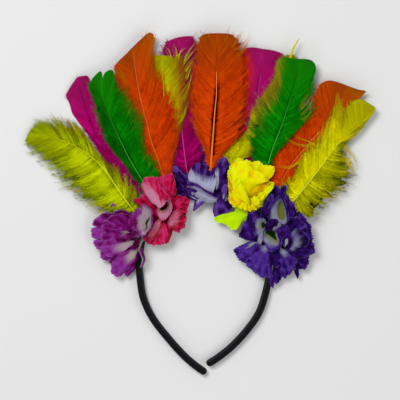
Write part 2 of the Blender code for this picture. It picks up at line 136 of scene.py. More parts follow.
def smooth_row(rows, places):
    """Smooth value of every column of rows at each place, counted in rows from the first one."""
    rows = np.asarray(rows, float)
    places = np.clip(np.asarray(places, float), 0.0, len(rows) - 1.0)
    here = np.minimum(places.astype(int), len(rows) - 2)
    part = (places - here)[..., None]
    a = rows[np.maximum(here - 1, 0)]
    b = rows[here]
    c = rows[here + 1]
    d = rows[np.minimum(here + 2, len(rows) - 1)]
    square = (2.0 * a - 5.0 * b + 4.0 * c - d) * part**2
    cube = (3.0 * b - a - 3.0 * c + d) * part**3
    return 0.5 * (2.0 * b + (c - a) * part + square + cube)


def close_shell(angle):
    """In edit mode: turn all faces outwards, then shade smooth up to this angle in degrees."""
    bpy.ops.mesh.select_all(action="SELECT")
    bpy.ops.mesh.normals_make_consistent(inside=False)
    bpy.ops.object.mode_set(mode="OBJECT")
    bpy.ops.object.shade_smooth_by_angle(angle=math.radians(angle))


def dress(piece, slot, nodes, *paints):
    """Give a finished piece its materials, hang it under the root body and hide the plain solids that it
    stands for; the slot is not used.
    """
    for paint in paints:
        piece.data.materials.append(paint)
    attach(piece, "root")
    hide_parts(*nodes)


# x, y of the centre line in mm, from the left tip over the crown to the right tip
BAND_LINE = [
    (-1.2, -146.0), (-9.4, -140.0), (-18.3, -132.0), (-29.2, -120.0), (-42.3, -103.3), (-50.3, -87.0),
    (-53.3, -70.5), (-54.1, -54.1), (-50.8, -34.0), (-41.5, -17.5), (-24.6, -5.0), (0.0, 0.0), (24.6, -4.6),
    (41.8, -18.0), (50.8, -36.5), (53.3, -58.2), (52.5, -70.0), (45.6, -95.1), (35.0, -111.5),
    (22.6, -125.0), (11.6, -134.0), (3.8, -139.0),
]

# across and up in mm; the step near the end is the edge of the wrapped cloth
BAND_SECTION = [
    (-1.7, 0.0), (0.0, 0.0), (1.7, 0.0), (2.35, 0.35), (2.75, 1.2), (3.0, 2.4), (3.0, 4.6), (2.75, 5.8),
    (2.35, 6.55), (1.7, 6.95), (0.6, 7.0), (-0.55, 6.98), (-0.7, 6.7), (-0.95, 6.68), (-1.7, 6.6),
    (-2.35, 6.2), (-2.75, 5.5), (-3.0, 4.4), (-3.0, 2.4), (-2.75, 1.2), (-2.35, 0.35),
]
BAND_STEPS = 150
BAND_MIDDLE = 3.5

# rounding of both tips: how far past the end of the line in mm, and the size of the section there
TIP_RINGS = [(0.7, 0.95), (1.5, 0.8), (2.2, 0.55), (2.6, 0.25)]
WRAP_PER_MM = 0.01


def build_band():
    places = np.linspace(0.0, len(BAND_LINE) - 1.0, BAND_STEPS + 1)
    line = smooth_row(BAND_LINE, places)
    way = np.gradient(line, axis=0)
    way /= np.linalg.norm(way, axis=1)[:, None]
    rings = [(line[0] - way[0] * past, way[0], size) for past, size in reversed(TIP_RINGS)]
    rings += [(point, along, 1.0) for point, along in zip(line, way)]
    rings += [(line[-1] + way[-1] * past, way[-1], size) for past, size in TIP_RINGS]
    count = len(BAND_SECTION)
    bpy.ops.mesh.primitive_circle_add(vertices=count, radius=BAND_MIDDLE * MM, fill_type="NGON",
                                      enter_editmode=True)
    band = bpy.context.object
    band.name = "satin_band"
    for _ in rings[1:]:
        bpy.ops.mesh.extrude_region_move(TRANSFORM_OT_translate={"value": (0.0, 0.0, MM)})
    bpy.ops.object.mode_set(mode="OBJECT")
    order = sorted(range(len(band.data.vertices)), key=lambda i: round(band.data.vertices[i].co.z, 6))
    spot = np.array([v.co for v in band.data.vertices])
    wrap = band.data.uv_layers[0]
    wrap.name = "wrap"
    place_of = {}
    length = 0.0
    last = rings[0][0]
    for number, (point, along, size) in enumerate(rings):
        length += float(np.hypot(*(point - last)))
        last = point
        level = order[number * count:(number + 1) * count]
        level.sort(key=lambda i: math.atan2(spot[i][1], spot[i][0]) % (2.0 * math.pi))
        for step, index in enumerate(level):
            across, up = BAND_SECTION[step]
            up = BAND_MIDDLE + (up - BAND_MIDDLE) * size
            x = point[0] - along[1] * across * size
            y = point[1] + along[0] * across * size
            band.data.vertices[index].co = (x * MM, y * MM, up * MM)
            place_of[index] = (step / count, length * WRAP_PER_MM)
    for loop in band.data.loops:
        wrap.data[loop.index].uv = place_of[loop.vertex_index]
    bpy.ops.object.mode_set(mode="EDIT")
    close_shell(50.0)
    return band


def satin_cloth():
    """Near-black ribbed cloth with grey specks, painted lighter as sheen on its inner side and painted darker
    as shadow along the step of its edge; around runs once round the band from its underside.
    """
    paint = Paint("black_satin_cloth", Roughness=0.5, Specular_IOR_Level=0.07)
    fibre = paint.noise(900.0, 2.0)
    cloud = paint.noise(60.0, 3.0)
    speck = paint.limit(paint.noise(1600.0, 0.0), 0.72, 0.76)
    wrap = paint.node("ShaderNodeUVMap", {"uv_map": "wrap"})
    ribs = paint.node("ShaderNodeTexWave", {"bands_direction": "Y"}, {"Vector": wrap, "Scale": 55.0})
    shade = paint.mix(cloud, (0.0012, 0.0012, 0.0022), (0.004, 0.004, 0.0065))
    shade = paint.mix(speck * 0.3, shade, (0.05, 0.05, 0.06))
    around = paint.node("ShaderNodeSeparateXYZ", {}, {"Vector": wrap})
    # Painted light and shade: from the step of the cloth's edge down the inner side to the underside the
    # cloth is painted lighter, a painted sheen, and along the step itself it is painted darker, a painted
    # shadow.
    step_shadow = paint.limit(around, 0.50, 0.56) * (1.0 - paint.limit(around, 0.60, 0.66))
    shade = paint.mix(paint.limit(around, 0.56, 0.62) * 0.8, shade, (0.015, 0.015, 0.018))
    shade = paint.mix(step_shadow, shade, (0.0004, 0.0004, 0.0008))
    paint.bump(ribs * 0.35 + fibre * 0.65, 0.35, 0.00012)
    return paint.set(Base_Color=shade, Roughness=0.42 + fibre * 0.2)


dress(build_band(), "band_satin", ("band",), satin_cloth())


# Feathers. Dyed turkey flats with their down left on: a tapered shaft, a smooth flat vane near the
# tip and loose downy barbs below it. Their quills are glued to the band behind the flowers.

# the bed that the feathers lie on, in mm: the arch of the band, how high the bed is there and at the
# tips, the step from one level of feathers to the next, and the room kept over the table top
ARCH_RADIUS = 37.7
ARCH_STRETCH = 1.41
CROWN_RISE = 8.0
TIP_RISE = 5.0
LEVEL_STEP = 2.3
VANE_MIDDLE = 0.6
TABLE_GAP = 0.05

# the numbers that each point carries for the dye and for painted shade, and the two materials of a feather
MARKS = ("tone", "along", "out", "side", "stray")
BARB_PAINT = 0
SHAFT_PAINT = 1

# the closed leaf under the barbs, and how far the rim of the vane bends down
LEAF_ROWS = 150
LEAF_STEPS = 9
LEAF_THICK = 0.24
CURL = 0.45

# on each side: the barbs, how far they lean to the tip, the locks they cling in and their barbules
BARBS = 190
BARB_STEPS = 7
LEAN = 0.66
LOCK_WIDTH = 4.6
BARBULES = 13
BARBULE_WIDTH = 0.09

# loose hairs: strands for each hair of the table, and how far they stray at foot, middle and end
STRANDS = 4
STRAND_STEPS = 12
STRAND_SPREAD = (1.1, 1.1, 0.6, 0.6, 0.9, 0.9)

# the shaft, the hidden quill below it and the bare tip past it
SHAFT_STEPS = 60
SHAFT_SIDES = 8
QUILL_STEPS = 12
QUILL_RISE = 0.9
TAIL_STEPS = 8


def smooth_step(low, high, value):
    t = np.clip((value - low) / (high - low), 0.0, 1.0)
    return t * t * (3.0 - 2.0 * t)


def bed_height(x, y):
    """Underside of the lowest feather: over the band at the crown, on the surface further out."""
    out = np.hypot(x / ARCH_STRETCH, y + ARCH_RADIUS) - ARCH_RADIUS
    return CROWN_RISE * (1.0 - smooth_step(14.0, 62.0, out)) + TIP_RISE * smooth_step(82.0, 140.0, out)


def in_rows(numbers, size):
    """The numbers cut into rows of this size."""
    return [numbers[at:at + size] for at in range(0, len(numbers), size)]


def measured(points):
    """A smooth line through the points and how far along it each place is."""
    rows = np.array(points, float)
    fine = smooth_row(rows, np.linspace(0.0, len(rows) - 1.0, (len(rows) - 1) * 12 + 1))
    run = np.concatenate([[0.0], np.cumsum(np.linalg.norm(np.diff(fine, axis=0), axis=1))])
    return fine, run


def on_line(line, share):
    fine, run = line
    length = np.clip(share, 0.0, 1.0) * run[-1]
    return np.stack([np.interp(length, run, fine[:, k]) for k in range(fine.shape[1])], axis=-1)


def mark_points(mesh, label, values):
    """Keep one number for each point, which the materials read by its label."""
    layer = mesh.attributes.new(label, "FLOAT", "POINT")
    layer.data.foreach_set("value", np.ascontiguousarray(values).astype(np.float32))


class Heap:
    """Many small closed strips gathered into one mesh, each point with its marks."""

    def __init__(self):
        self.points = []
        self.faces = {3: [], 4: []}
        self.paints = {3: [], 4: []}
        self.marks = []
        self.count = 0

    def put(self, points, quads, triangles, marks, paint=BARB_PAINT):
        self.points.append(points.reshape(-1, 3))
        self.marks.append(marks.reshape(-1, len(MARKS)))
        for size, faces in ((4, quads), (3, triangles)):
            if faces is not None:
                self.faces[size].append(faces.reshape(-1, size) + self.count)
                self.paints[size].append(np.full(faces.size // size, paint))
        self.count += points.size // 3

    def strips(self, paths, half, height, marks):
        """Three-sided strips along paths (strip, step, xyz), half width and height at each step."""
        n, m, _ = paths.shape
        way = np.gradient(paths, axis=1)
        way /= np.linalg.norm(way, axis=2)[..., None] + 1e-9
        side = np.cross(way, (0.0, 0.0, 1.0))
        side /= np.linalg.norm(side, axis=2)[..., None] + 1e-9
        up = np.cross(side, way)
        low = paths - up * height[..., None] * 0.5
        ring = np.stack([
            low - side * half[..., None],
            low + side * half[..., None],
            low + up * height[..., None],
        ], axis=2)
        first = (np.arange(n) * m * 3)[:, None]
        step = (np.arange(m - 1) * 3)[None, :, None]
        k = np.arange(3)[None, None, :]
        a = first[..., None] + step + k
        b = first[..., None] + step + (k + 1) % 3
        quads = np.stack([a, b, b + 3, a + 3], axis=-1)
        last = first + (m - 1) * 3
        start = np.concatenate([first + 2, first + 1, first], axis=1)
        end = np.concatenate([last, last + 1, last + 2], axis=1)
        self.put(ring, quads, np.concatenate([start, end]), np.repeat(marks[:, :, None, :], 3, axis=2))

    def slivers(self, foot, reach, marks):
        """Barbules: thin closed slivers from foot along reach, both (sliver, xyz)."""
        side = np.cross(reach, (0.0, 0.0, 1.0))
        side /= np.linalg.norm(side, axis=1)[:, None] + 1e-9
        side *= BARBULE_WIDTH
        raised = foot + np.array((0.0, 0.0, BARBULE_WIDTH * 1.4))
        corners = np.stack([foot - side, foot + side, raised, foot + reach], axis=1)
        base = (np.arange(len(foot)) * 4)[:, None, None]
        sides = np.array([(0, 1, 3), (1, 2, 3), (2, 0, 3), (0, 2, 1)])[None]
        self.put(corners, None, base + sides, np.repeat(marks[:, None, :], 4, axis=1))

    def rod(self, line, radius, marks):
        """The shaft: a round tapered rod along line (step, xyz)."""
        m = len(line)
        way = np.gradient(line, axis=0)
        way /= np.linalg.norm(way, axis=1)[:, None]
        side = np.cross(way, (0.0, 0.0, 1.0))
        side /= np.linalg.norm(side, axis=1)[:, None]
        up = np.cross(side, way)
        k = np.arange(SHAFT_SIDES)
        turn = 2.0 * np.pi * k / SHAFT_SIDES
        across = np.cos(turn)[None, :, None] * side[:, None]
        ring = line[:, None] + radius[:, None, None] * (across + np.sin(turn)[None, :, None] * up[:, None])
        rows = (np.arange(m - 1) * SHAFT_SIDES)[:, None]
        a = rows + k[None]
        b = rows + (k[None] + 1) % SHAFT_SIDES
        quads = np.stack([a, a + SHAFT_SIDES, b + SHAFT_SIDES, b], axis=-1)
        fan = np.array([(0, corner, corner + 1) for corner in range(1, SHAFT_SIDES - 1)])
        caps = np.concatenate([fan, fan[:, [0, 2, 1]] + (m - 1) * SHAFT_SIDES])
        self.put(ring, quads, caps, np.repeat(marks[:, None, :], SHAFT_SIDES, axis=1), SHAFT_PAINT)

    def leaf(self, sheet, marks, left):
        """A thin closed leaf: sheet (station, step, xyz) with a lower copy and a rim all round."""
        n, m, _ = sheet.shape
        both = np.stack([sheet, sheet - np.array((0.0, 0.0, LEAF_THICK))])
        top, low = np.arange(2 * n * m).reshape(2, n, m)
        edge = np.concatenate([top[0, :-1], top[:-1, -1], top[-1, :0:-1], top[:0:-1, 0]])
        under = edge + n * m
        quads = np.concatenate([
            np.stack([top[:-1, :-1], top[:-1, 1:], top[1:, 1:], top[1:, :-1]], axis=-1).reshape(-1, 4),
            np.stack([low[:-1, :-1], low[1:, :-1], low[1:, 1:], low[:-1, 1:]], axis=-1).reshape(-1, 4),
            np.stack([edge, under, np.roll(under, -1), np.roll(edge, -1)], axis=-1),
        ])
        if left:
            quads = quads[:, ::-1]
        self.put(both, quads, None, np.stack([marks, marks]))

    def finish(self, name):
        points = np.concatenate(self.points)
        points[:, 2] = np.maximum(points[:, 2], TABLE_GAP)
        points = points * MM
        marks = np.concatenate(self.marks)
        kinds = [(size, np.concatenate(self.faces[size])) for size in (4, 3)]
        mesh = bpy.data.meshes.new(name)
        mesh.vertices.add(len(points))
        mesh.vertices.foreach_set("co", points.ravel())
        corners = np.concatenate([faces.ravel() for _, faces in kinds])
        sizes = np.concatenate([np.full(len(faces), size) for size, faces in kinds])
        mesh.loops.add(len(corners))
        mesh.loops.foreach_set("vertex_index", corners)
        mesh.polygons.add(len(sizes))
        mesh.polygons.foreach_set("loop_start", np.concatenate([[0], np.cumsum(sizes)[:-1]]))
        paints = np.concatenate(self.paints[4] + self.paints[3])
        mesh.polygons.foreach_set("material_index", paints.astype(np.int32))
        mesh.update(calc_edges=True)
        for column, label in enumerate(MARKS):
            mark_points(mesh, label, marks[:, column])
        mesh.validate()
        made = bpy.data.objects.new(name, mesh)
        bpy.context.scene.collection.objects.link(made)
        return made


def with_height(path, z):
    return np.concatenate([path, z[..., None]], axis=2)


def bow(u, start, middle, end):
    """A curve from start over middle to end, read at the shares u."""
    return (1 - u)**2 * start + 2 * u * (1 - u) * (2 * middle - 0.5 * (start + end)) + u**2 * end


def grow_barbules(dice, line, down, turn_way):
    """Foot and reach of the barbules on one side of every barb, and how far out on it they grow."""
    barb = np.arange(len(line))[:, None]
    where = dice.uniform(0.02, 0.98, (len(line), BARBULES)) ** 0.5
    exact = where * (BARB_STEPS - 1.0)
    low = np.minimum(exact.astype(int), BARB_STEPS - 2)
    part = (exact - low)[..., None]
    foot = line[barb, low] * (1 - part) + line[barb, low + 1] * part
    way = line[barb, low + 1] - line[barb, low]
    way /= np.linalg.norm(way, axis=2)[..., None]
    turn = np.radians(dice.uniform(4.0, 58.0, where.shape)) * turn_way
    x = way[..., 0] * np.cos(turn) - way[..., 1] * np.sin(turn)
    y = way[..., 0] * np.sin(turn) + way[..., 1] * np.cos(turn)
    z = dice.normal(0.05, 0.14, where.shape)
    length = dice.uniform(1.2, 4.4, where.shape) * down[:, None]
    return foot, np.stack([x, y, z], axis=2) * length[..., None], where


def build_feather(name, seed, spine, left, right, hairs, level, quill, flat, shaft, lift=0.0, tail=(),
                  bare=(0.0, 1.0), clefts=(), stray=(2, 0.0, 0.0, 1.0, 0.35), tones=(0.0, 0.0), body=0.86,
                  shaft_shadow=0.3, split=0.2, slim=1.0, proud=0.0, wisps=0.8, patchy=1.0, dim=(0.0, 0.0)):
    """One feather from its spine and its left and right outline, x and y in mm, base to tip.

    level: place in the stack; lift: how far the base stands above it
    quill: hidden lower end; tail: points of a bare tip; flat: where the smooth vane begins
    clefts: places along the spine (negative on the left) where the vane has split
    bare: from and to along the spine where the shaft lies open on the barbs
    stray: side, how much, from and to along the spine and from where outwards the second colour shows
    tones: lighter or darker on the left and the right side, painted light and shade as well as dye; groove:
    painted shadow beside the shaft
    body: how far out the closed vane reaches in the down; split: painted shadow between the locks
    shaft: half its width in mm; slim: how fast it thins; proud: how far it stands up
    wisps: share of the second colour in the loose hairs; patchy: how much the tone differs by lock
    dim: how much darker the left and the right side get towards the rim, painted shade
    """
    dice = np.random.default_rng(seed)
    heap = Heap()
    backbone = measured(in_rows(spine, 2))
    total = backbone[1][-1]

    def height(x, y, s):
        raised = lift * (1.0 - smooth_step(0.0, 0.22, s))
        return bed_height(x, y) + level * LEVEL_STEP + raised + VANE_MIDDLE

    def opened(s):
        low, high = bare
        return smooth_step(low - 0.04, low + 0.02, s) * (1.0 - smooth_step(high - 0.02, high + 0.06, s))

    def downy(s, noise=0.0):
        return 1.0 - smooth_step(flat - 0.14, flat + 0.12, s + noise)

    def barb_paths(s, edge, keep, down, steps, shift, group):
        """Bowed lines from the shaft to the outline; down draws them to the tip of their lock."""
        root = on_line(backbone, s)
        way = on_line(backbone, s + 0.02) - on_line(backbone, s - 0.02)
        way /= np.linalg.norm(way, axis=1)[:, None]
        tip = on_line(edge, s**LEAN)
        tip = tip + (on_line(edge, np.clip(group, 0.0, 1.0)**LEAN) - tip) * (0.05 + 0.5 * down)[:, None]
        tip = tip + way * shift[:, None]
        reach = (tip - root) * keep[:, None]
        size = np.linalg.norm(reach, axis=1)
        u = np.linspace(0.0, 1.0, steps)[None, :, None]
        bend = (0.12 + 0.05 * down) * size * (1.0 - s**6)
        control = root + reach * 0.5 - way * bend[:, None]
        tip = root + reach
        path = (1 - u)**2 * root[:, None] + 2 * u * (1 - u) * control[:, None] + u**2 * tip[:, None]
        return path, way, u[..., 0]

    def marks_for(tone, s, u, side):
        who, how_much, first, last, inner = stray
        amount = how_much * smooth_step(inner, 1.0, u) if who in (side, 2) else 0.0 * u
        amount = amount * smooth_step(first - 0.08, first + 0.08, s)
        amount = amount * (1.0 - smooth_step(last - 0.1, last + 0.1, s))
        shape = np.broadcast_shapes(tone.shape, s.shape, u.shape)
        parts = [np.broadcast_to(part, shape) for part in (tone, s, u, np.float64(side), amount)]
        return np.stack(parts, axis=-1)

    def cleft_shift(s, side):
        shift = np.zeros_like(s)
        for cleft in clefts:
            if (cleft < 0.0) == (side == 0):
                near = (s - abs(cleft)) / 0.045
                shift += np.exp(-near**2) * np.sign(near) * 2.0
        return shift

    for side, outline in ((0, left), (1, right)):
        edge = measured(in_rows(outline, 2))
        phase = dice.uniform(0.0, 1.0)
        locks = total / LOCK_WIDTH

        def lock_at(s):
            """Number of the lock a barb lies in, its middle and how far off that the barb grows."""
            wander = 0.9 * np.sin(s * 23.0 + phase * 6.0) + 0.5 * np.sin(s * 61.0 + phase * 17.0)
            number = np.floor(s * locks + wander + phase)
            centre = (number + 0.5 - wander - phase) / locks
            return number, centre, np.clip(np.abs(s - centre) * locks * 2.0, 0.0, 1.3)

        def shaded(tone, s, off, down, u):
            """Painted shade: darker between the locks, close by the shaft and towards the rim."""
            by_shaft = shaft_shadow * opened(s) * (1.0 - smooth_step(0.45, 0.8, s))
            between = split * down * off**2
            near = 1.0 - smooth_step(0.0, 0.16, u)
            shade = tone[:, None] - by_shaft[:, None] * near - dim[side] * smooth_step(0.35, 1.0, u)
            return shade - between[:, None] * smooth_step(0.25, 1.0, u)

        s = np.linspace(0.0, 1.0, LEAF_ROWS)
        down = downy(s)
        lock, centre, off = lock_at(s)
        ragged = np.abs(dice.normal(0.0, 1.0, LEAF_ROWS)) * (0.004 + 0.03 * down)
        keep = 0.992 - (1.0 - body) * down * (0.2 + 1.2 * off) - ragged
        keep = np.clip(keep + 0.04 * down * np.sin(lock * 4.1 + seed), 0.3, 1.0)
        path, _, u = barb_paths(s, edge, keep, down, LEAF_STEPS, cleft_shift(s, side), centre)
        z = height(path[..., 0], path[..., 1], s[:, None]) - CURL * u**2
        tone = 0.5 + tones[side] + 0.1 * patchy * np.sin(s * 31.0 + phase * 6.0)
        tone += dice.normal(0.0, 0.03, LEAF_ROWS)
        marks = marks_for(shaded(tone, s, off, down, u), s[:, None], u, side)
        heap.leaf(with_height(path, z), marks, side == 0)

        n = BARBS
        s = np.clip((np.arange(n) + 0.5 + dice.uniform(-0.4, 0.4, n)) / n, 0.0, 1.0)
        down = downy(s, dice.normal(0.0, 0.03, n))
        lock, centre, off = lock_at(s)
        own = np.sin(lock * 2.39 + side * 1.3 + seed)
        tone = 0.5 + tones[side] + (0.09 * own + dice.normal(0.0, 0.08, n)) * patchy
        keep = 1.0 - 0.05 * down + dice.normal(0.0, 1.0, n) * (0.006 + 0.04 * down)
        keep += down * (0.08 - 0.14 * off + 0.05 * np.sin(lock * 4.1 + seed))
        keep += (dice.uniform(0.0, 1.0, n) < 0.2 * down + 0.012) * dice.uniform(0.04, 0.16, n)
        shift = cleft_shift(s, side) + dice.normal(0.0, 0.8, n) * down
        path, way, u = barb_paths(s, edge, keep, down, BARB_STEPS, shift, centre)
        ripple = dice.uniform(0.0, 2.0 * np.pi, (n, 1))
        swing = np.sin(u * dice.uniform(3.0, 7.0, (n, 1)) + ripple) * u * (0.08 + 0.6 * down[:, None])
        path = path + way[:, None] * swing[..., None]
        z = height(path[..., 0], path[..., 1], s[:, None]) + 0.13 - CURL * u**2 + 0.25 * (1.0 - u)
        loose = dice.uniform(-0.25, 1.0, n) * down
        z = z + loose[:, None] * 0.9 * np.sin(np.pi * u**0.8)
        line = with_height(path, z)
        wide = (0.42 * total / n * (1.0 - down) + 0.2 * down)[:, None]
        taper = np.clip((1.02 - u) / (0.15 + 0.3 * down[:, None]), 0.07, 1.0)
        thick = np.clip(taper, 0.3, 1.0) * 0.2
        marks = marks_for(shaded(tone, s, off, down, u), s[:, None], u, side)
        heap.strips(line, wide * taper, thick, marks)

        fluffy = down > 0.15
        for turn_way in (1.0, -1.0):
            foot, reach, where = grow_barbules(dice, line[fluffy], down[fluffy], turn_way)
            own = tone[fluffy][:, None] + dice.normal(0.06, 0.2, where.shape)
            # Painted shade: the barbules too get darker towards the rim.
            own = own - dim[side] * smooth_step(0.35, 1.0, where)
            marks = marks_for(own, s[fluffy][:, None], where, side)
            heap.slivers(foot.reshape(-1, 3), reach.reshape(-1, 3), marks.reshape(-1, len(MARKS)))

    u = np.linspace(0.0, 1.0, STRAND_STEPS)
    for hair in in_rows(hairs, 6):
        for _ in range(STRANDS):
            x0, y0, x1, y1, x2, y2 = np.array(hair) + dice.normal(0.0, 1.0, 6) * STRAND_SPREAD
            x = bow(u, x0, x1, x2)
            y = bow(u, y0, y1, y2)
            z = height(x, y, 0.5) + 0.5 + 1.0 * u
            paths = np.stack([x, y, z], axis=-1)[None]
            taper = np.clip(1.05 - u, 0.15, 1.0)[None]
            marks = marks_for(np.full((1, STRAND_STEPS), 0.75), np.full((1, STRAND_STEPS), 0.5), u[None], 1)
            marks[..., MARKS.index("stray")] = wisps
            heap.strips(paths, 0.2 * taper, 0.25 * taper, marks)

    grid = np.linspace(0.0, 1.0, SHAFT_STEPS)
    line = on_line(backbone, grid)
    z = height(line[:, 0], line[:, 1], grid) - 0.35 + (0.75 + proud) * opened(grid)
    part = np.linspace(0.0, 1.0, QUILL_STEPS)[:-1]
    lead = np.array(quill[:2]) + (line[0] - np.array(quill[:2])) * part[:, None]
    lead_z = quill[2] + QUILL_RISE + (z[0] - quill[2] - QUILL_RISE) * part**2
    points = np.concatenate([np.column_stack([lead, lead_z]), np.column_stack([line, z])])
    sizes = np.concatenate([np.full(len(part), shaft), (1.0 - 0.78 * grid)**slim * shaft])
    if tail:
        more = np.array([(x, y, height(x, y, 1.0) + 0.4) for x, y in tail])
        places = 1.0 + np.linspace(0.0, len(more), TAIL_STEPS + 1)[1:]
        points = np.concatenate([points, smooth_row(np.concatenate([points[-2:], more]), places)])
        sizes[-TAIL_STEPS:] = np.maximum(sizes[-TAIL_STEPS:], np.linspace(0.3, 1.15, TAIL_STEPS))
        sizes = np.concatenate([sizes, np.linspace(1.2, 0.45, TAIL_STEPS)])
    marks = np.full((len(points), len(MARKS)), 0.5)
    marks[:, MARKS.index("along")] = np.linspace(0.0, 1.0, len(points))
    heap.rod(points, sizes, marks)
    return heap.finish(name)


def dyed_barbs(name, deep, main, pale, tip, stray):
    """Dyed barbs: faint streaks along the barbs, soft patches of more and less dye, a duller tip, and painted
    shadow at the lowest tones.
    """
    paint = Paint(name, Roughness=0.8, Specular_IOR_Level=0.03)
    tone = paint.attribute("tone")
    out = paint.attribute("out")
    along = paint.attribute("along")
    lie = {"X": along * 150.0, "Y": out * 3.0, "Z": paint.attribute("side") * 9.0}
    streak = paint.noise(1.0, 3.0, paint.node("ShaderNodeCombineXYZ", {}, lie))
    patch = paint.noise(150.0, 4.0)
    fuzz = paint.noise(650.0, 2.0)
    tint = tone * 0.85 + 0.10 + (streak - 0.5) * 0.3 + (patch - 0.5) * 0.6 + (fuzz - 0.5) * 0.42
    # Painted shadow: the lowest tones turn near black, the dark seen between the barbs and beside the shaft.
    gap_shadow = tuple(0.12 * part for part in deep)
    colour = paint.ramp(tint, [(0.0, gap_shadow), (0.08, deep), (0.48, main), (0.9, pale)])
    far = paint.limit(along + out * 0.12, 0.62, 0.98)
    colour = paint.mix(far, colour, tip)
    colour = paint.mix(paint.attribute("stray") * (0.55 + streak * 0.6), colour, stray)
    paint.bump(streak, 0.35, 0.0002)
    return paint.set(Base_Color=colour, Roughness=0.62 + patch * 0.25)


def dyed_shaft(name, low, middle, high):
    """The shaft takes the dye unevenly: colours near the quill, half way up and at the tip."""
    paint = Paint(name, Roughness=0.45, Specular_IOR_Level=0.12)
    patch = paint.noise(220.0, 2.0)
    along = paint.attribute("along") + (patch - 0.5) * 0.2
    colour = paint.ramp(along, [(0.15, low), (0.55, middle), (0.85, high)])
    return paint.set(Base_Color=colour, Roughness=0.4 + patch * 0.15)


LEMON = (
    dyed_barbs("lemon_barbs", (0.12, 0.14, 0.0), (0.42, 0.51, 0.0), (0.70, 0.80, 0.0), (0.32, 0.38, 0.0),
               (0.42, 0.20, 0.0)),
    dyed_shaft("lemon_shaft", (0.66, 0.66, 0.0), (0.60, 0.62, 0.0), (0.45, 0.45, 0.0)),
    "feather_yellow",
)
YELLOW = (
    dyed_barbs("yellow_barbs", (0.13, 0.15, 0.0), (0.46, 0.45, 0.0), (0.80, 0.76, 0.0), (0.37, 0.36, 0.0),
               (0.38, 0.10, 0.008)),
    dyed_shaft("yellow_shaft", (0.66, 0.66, 0.04), (0.60, 0.60, 0.02), (0.50, 0.50, 0.0)),
    "feather_yellow",
)
MAGENTA = (
    dyed_barbs("magenta_barbs", (0.12, 0.0, 0.03), (0.38, 0.0, 0.13), (0.58, 0.002, 0.19),
               (0.33, 0.006, 0.11), (0.62, 0.02, 0.010)),
    dyed_shaft("magenta_shaft", (0.55, 0.02, 0.20), (0.54, 0.06, 0.25), (0.50, 0.07, 0.24)),
    "feather_magenta",
)
GREEN = (
    dyed_barbs("green_barbs", (0.0, 0.045, 0.0), (0.0, 0.19, 0.0), (0.006, 0.38, 0.0), (0.006, 0.18, 0.0),
               (0.34, 0.24, 0.012)),
    dyed_shaft("green_shaft", (0.06, 0.44, 0.04), (0.05, 0.34, 0.03), (0.012, 0.20, 0.008)),
    "feather_green",
)
ORANGE = (
    dyed_barbs("orange_barbs", (0.30, 0.012, 0.0), (0.68, 0.055, 0.0), (0.86, 0.11, 0.0), (0.35, 0.052, 0.0),
               (0.34, 0.16, 0.0)),
    dyed_shaft("orange_shaft", (0.66, 0.12, 0.006), (0.72, 0.21, 0.04), (0.74, 0.32, 0.11)),
    "feather_orange",
)

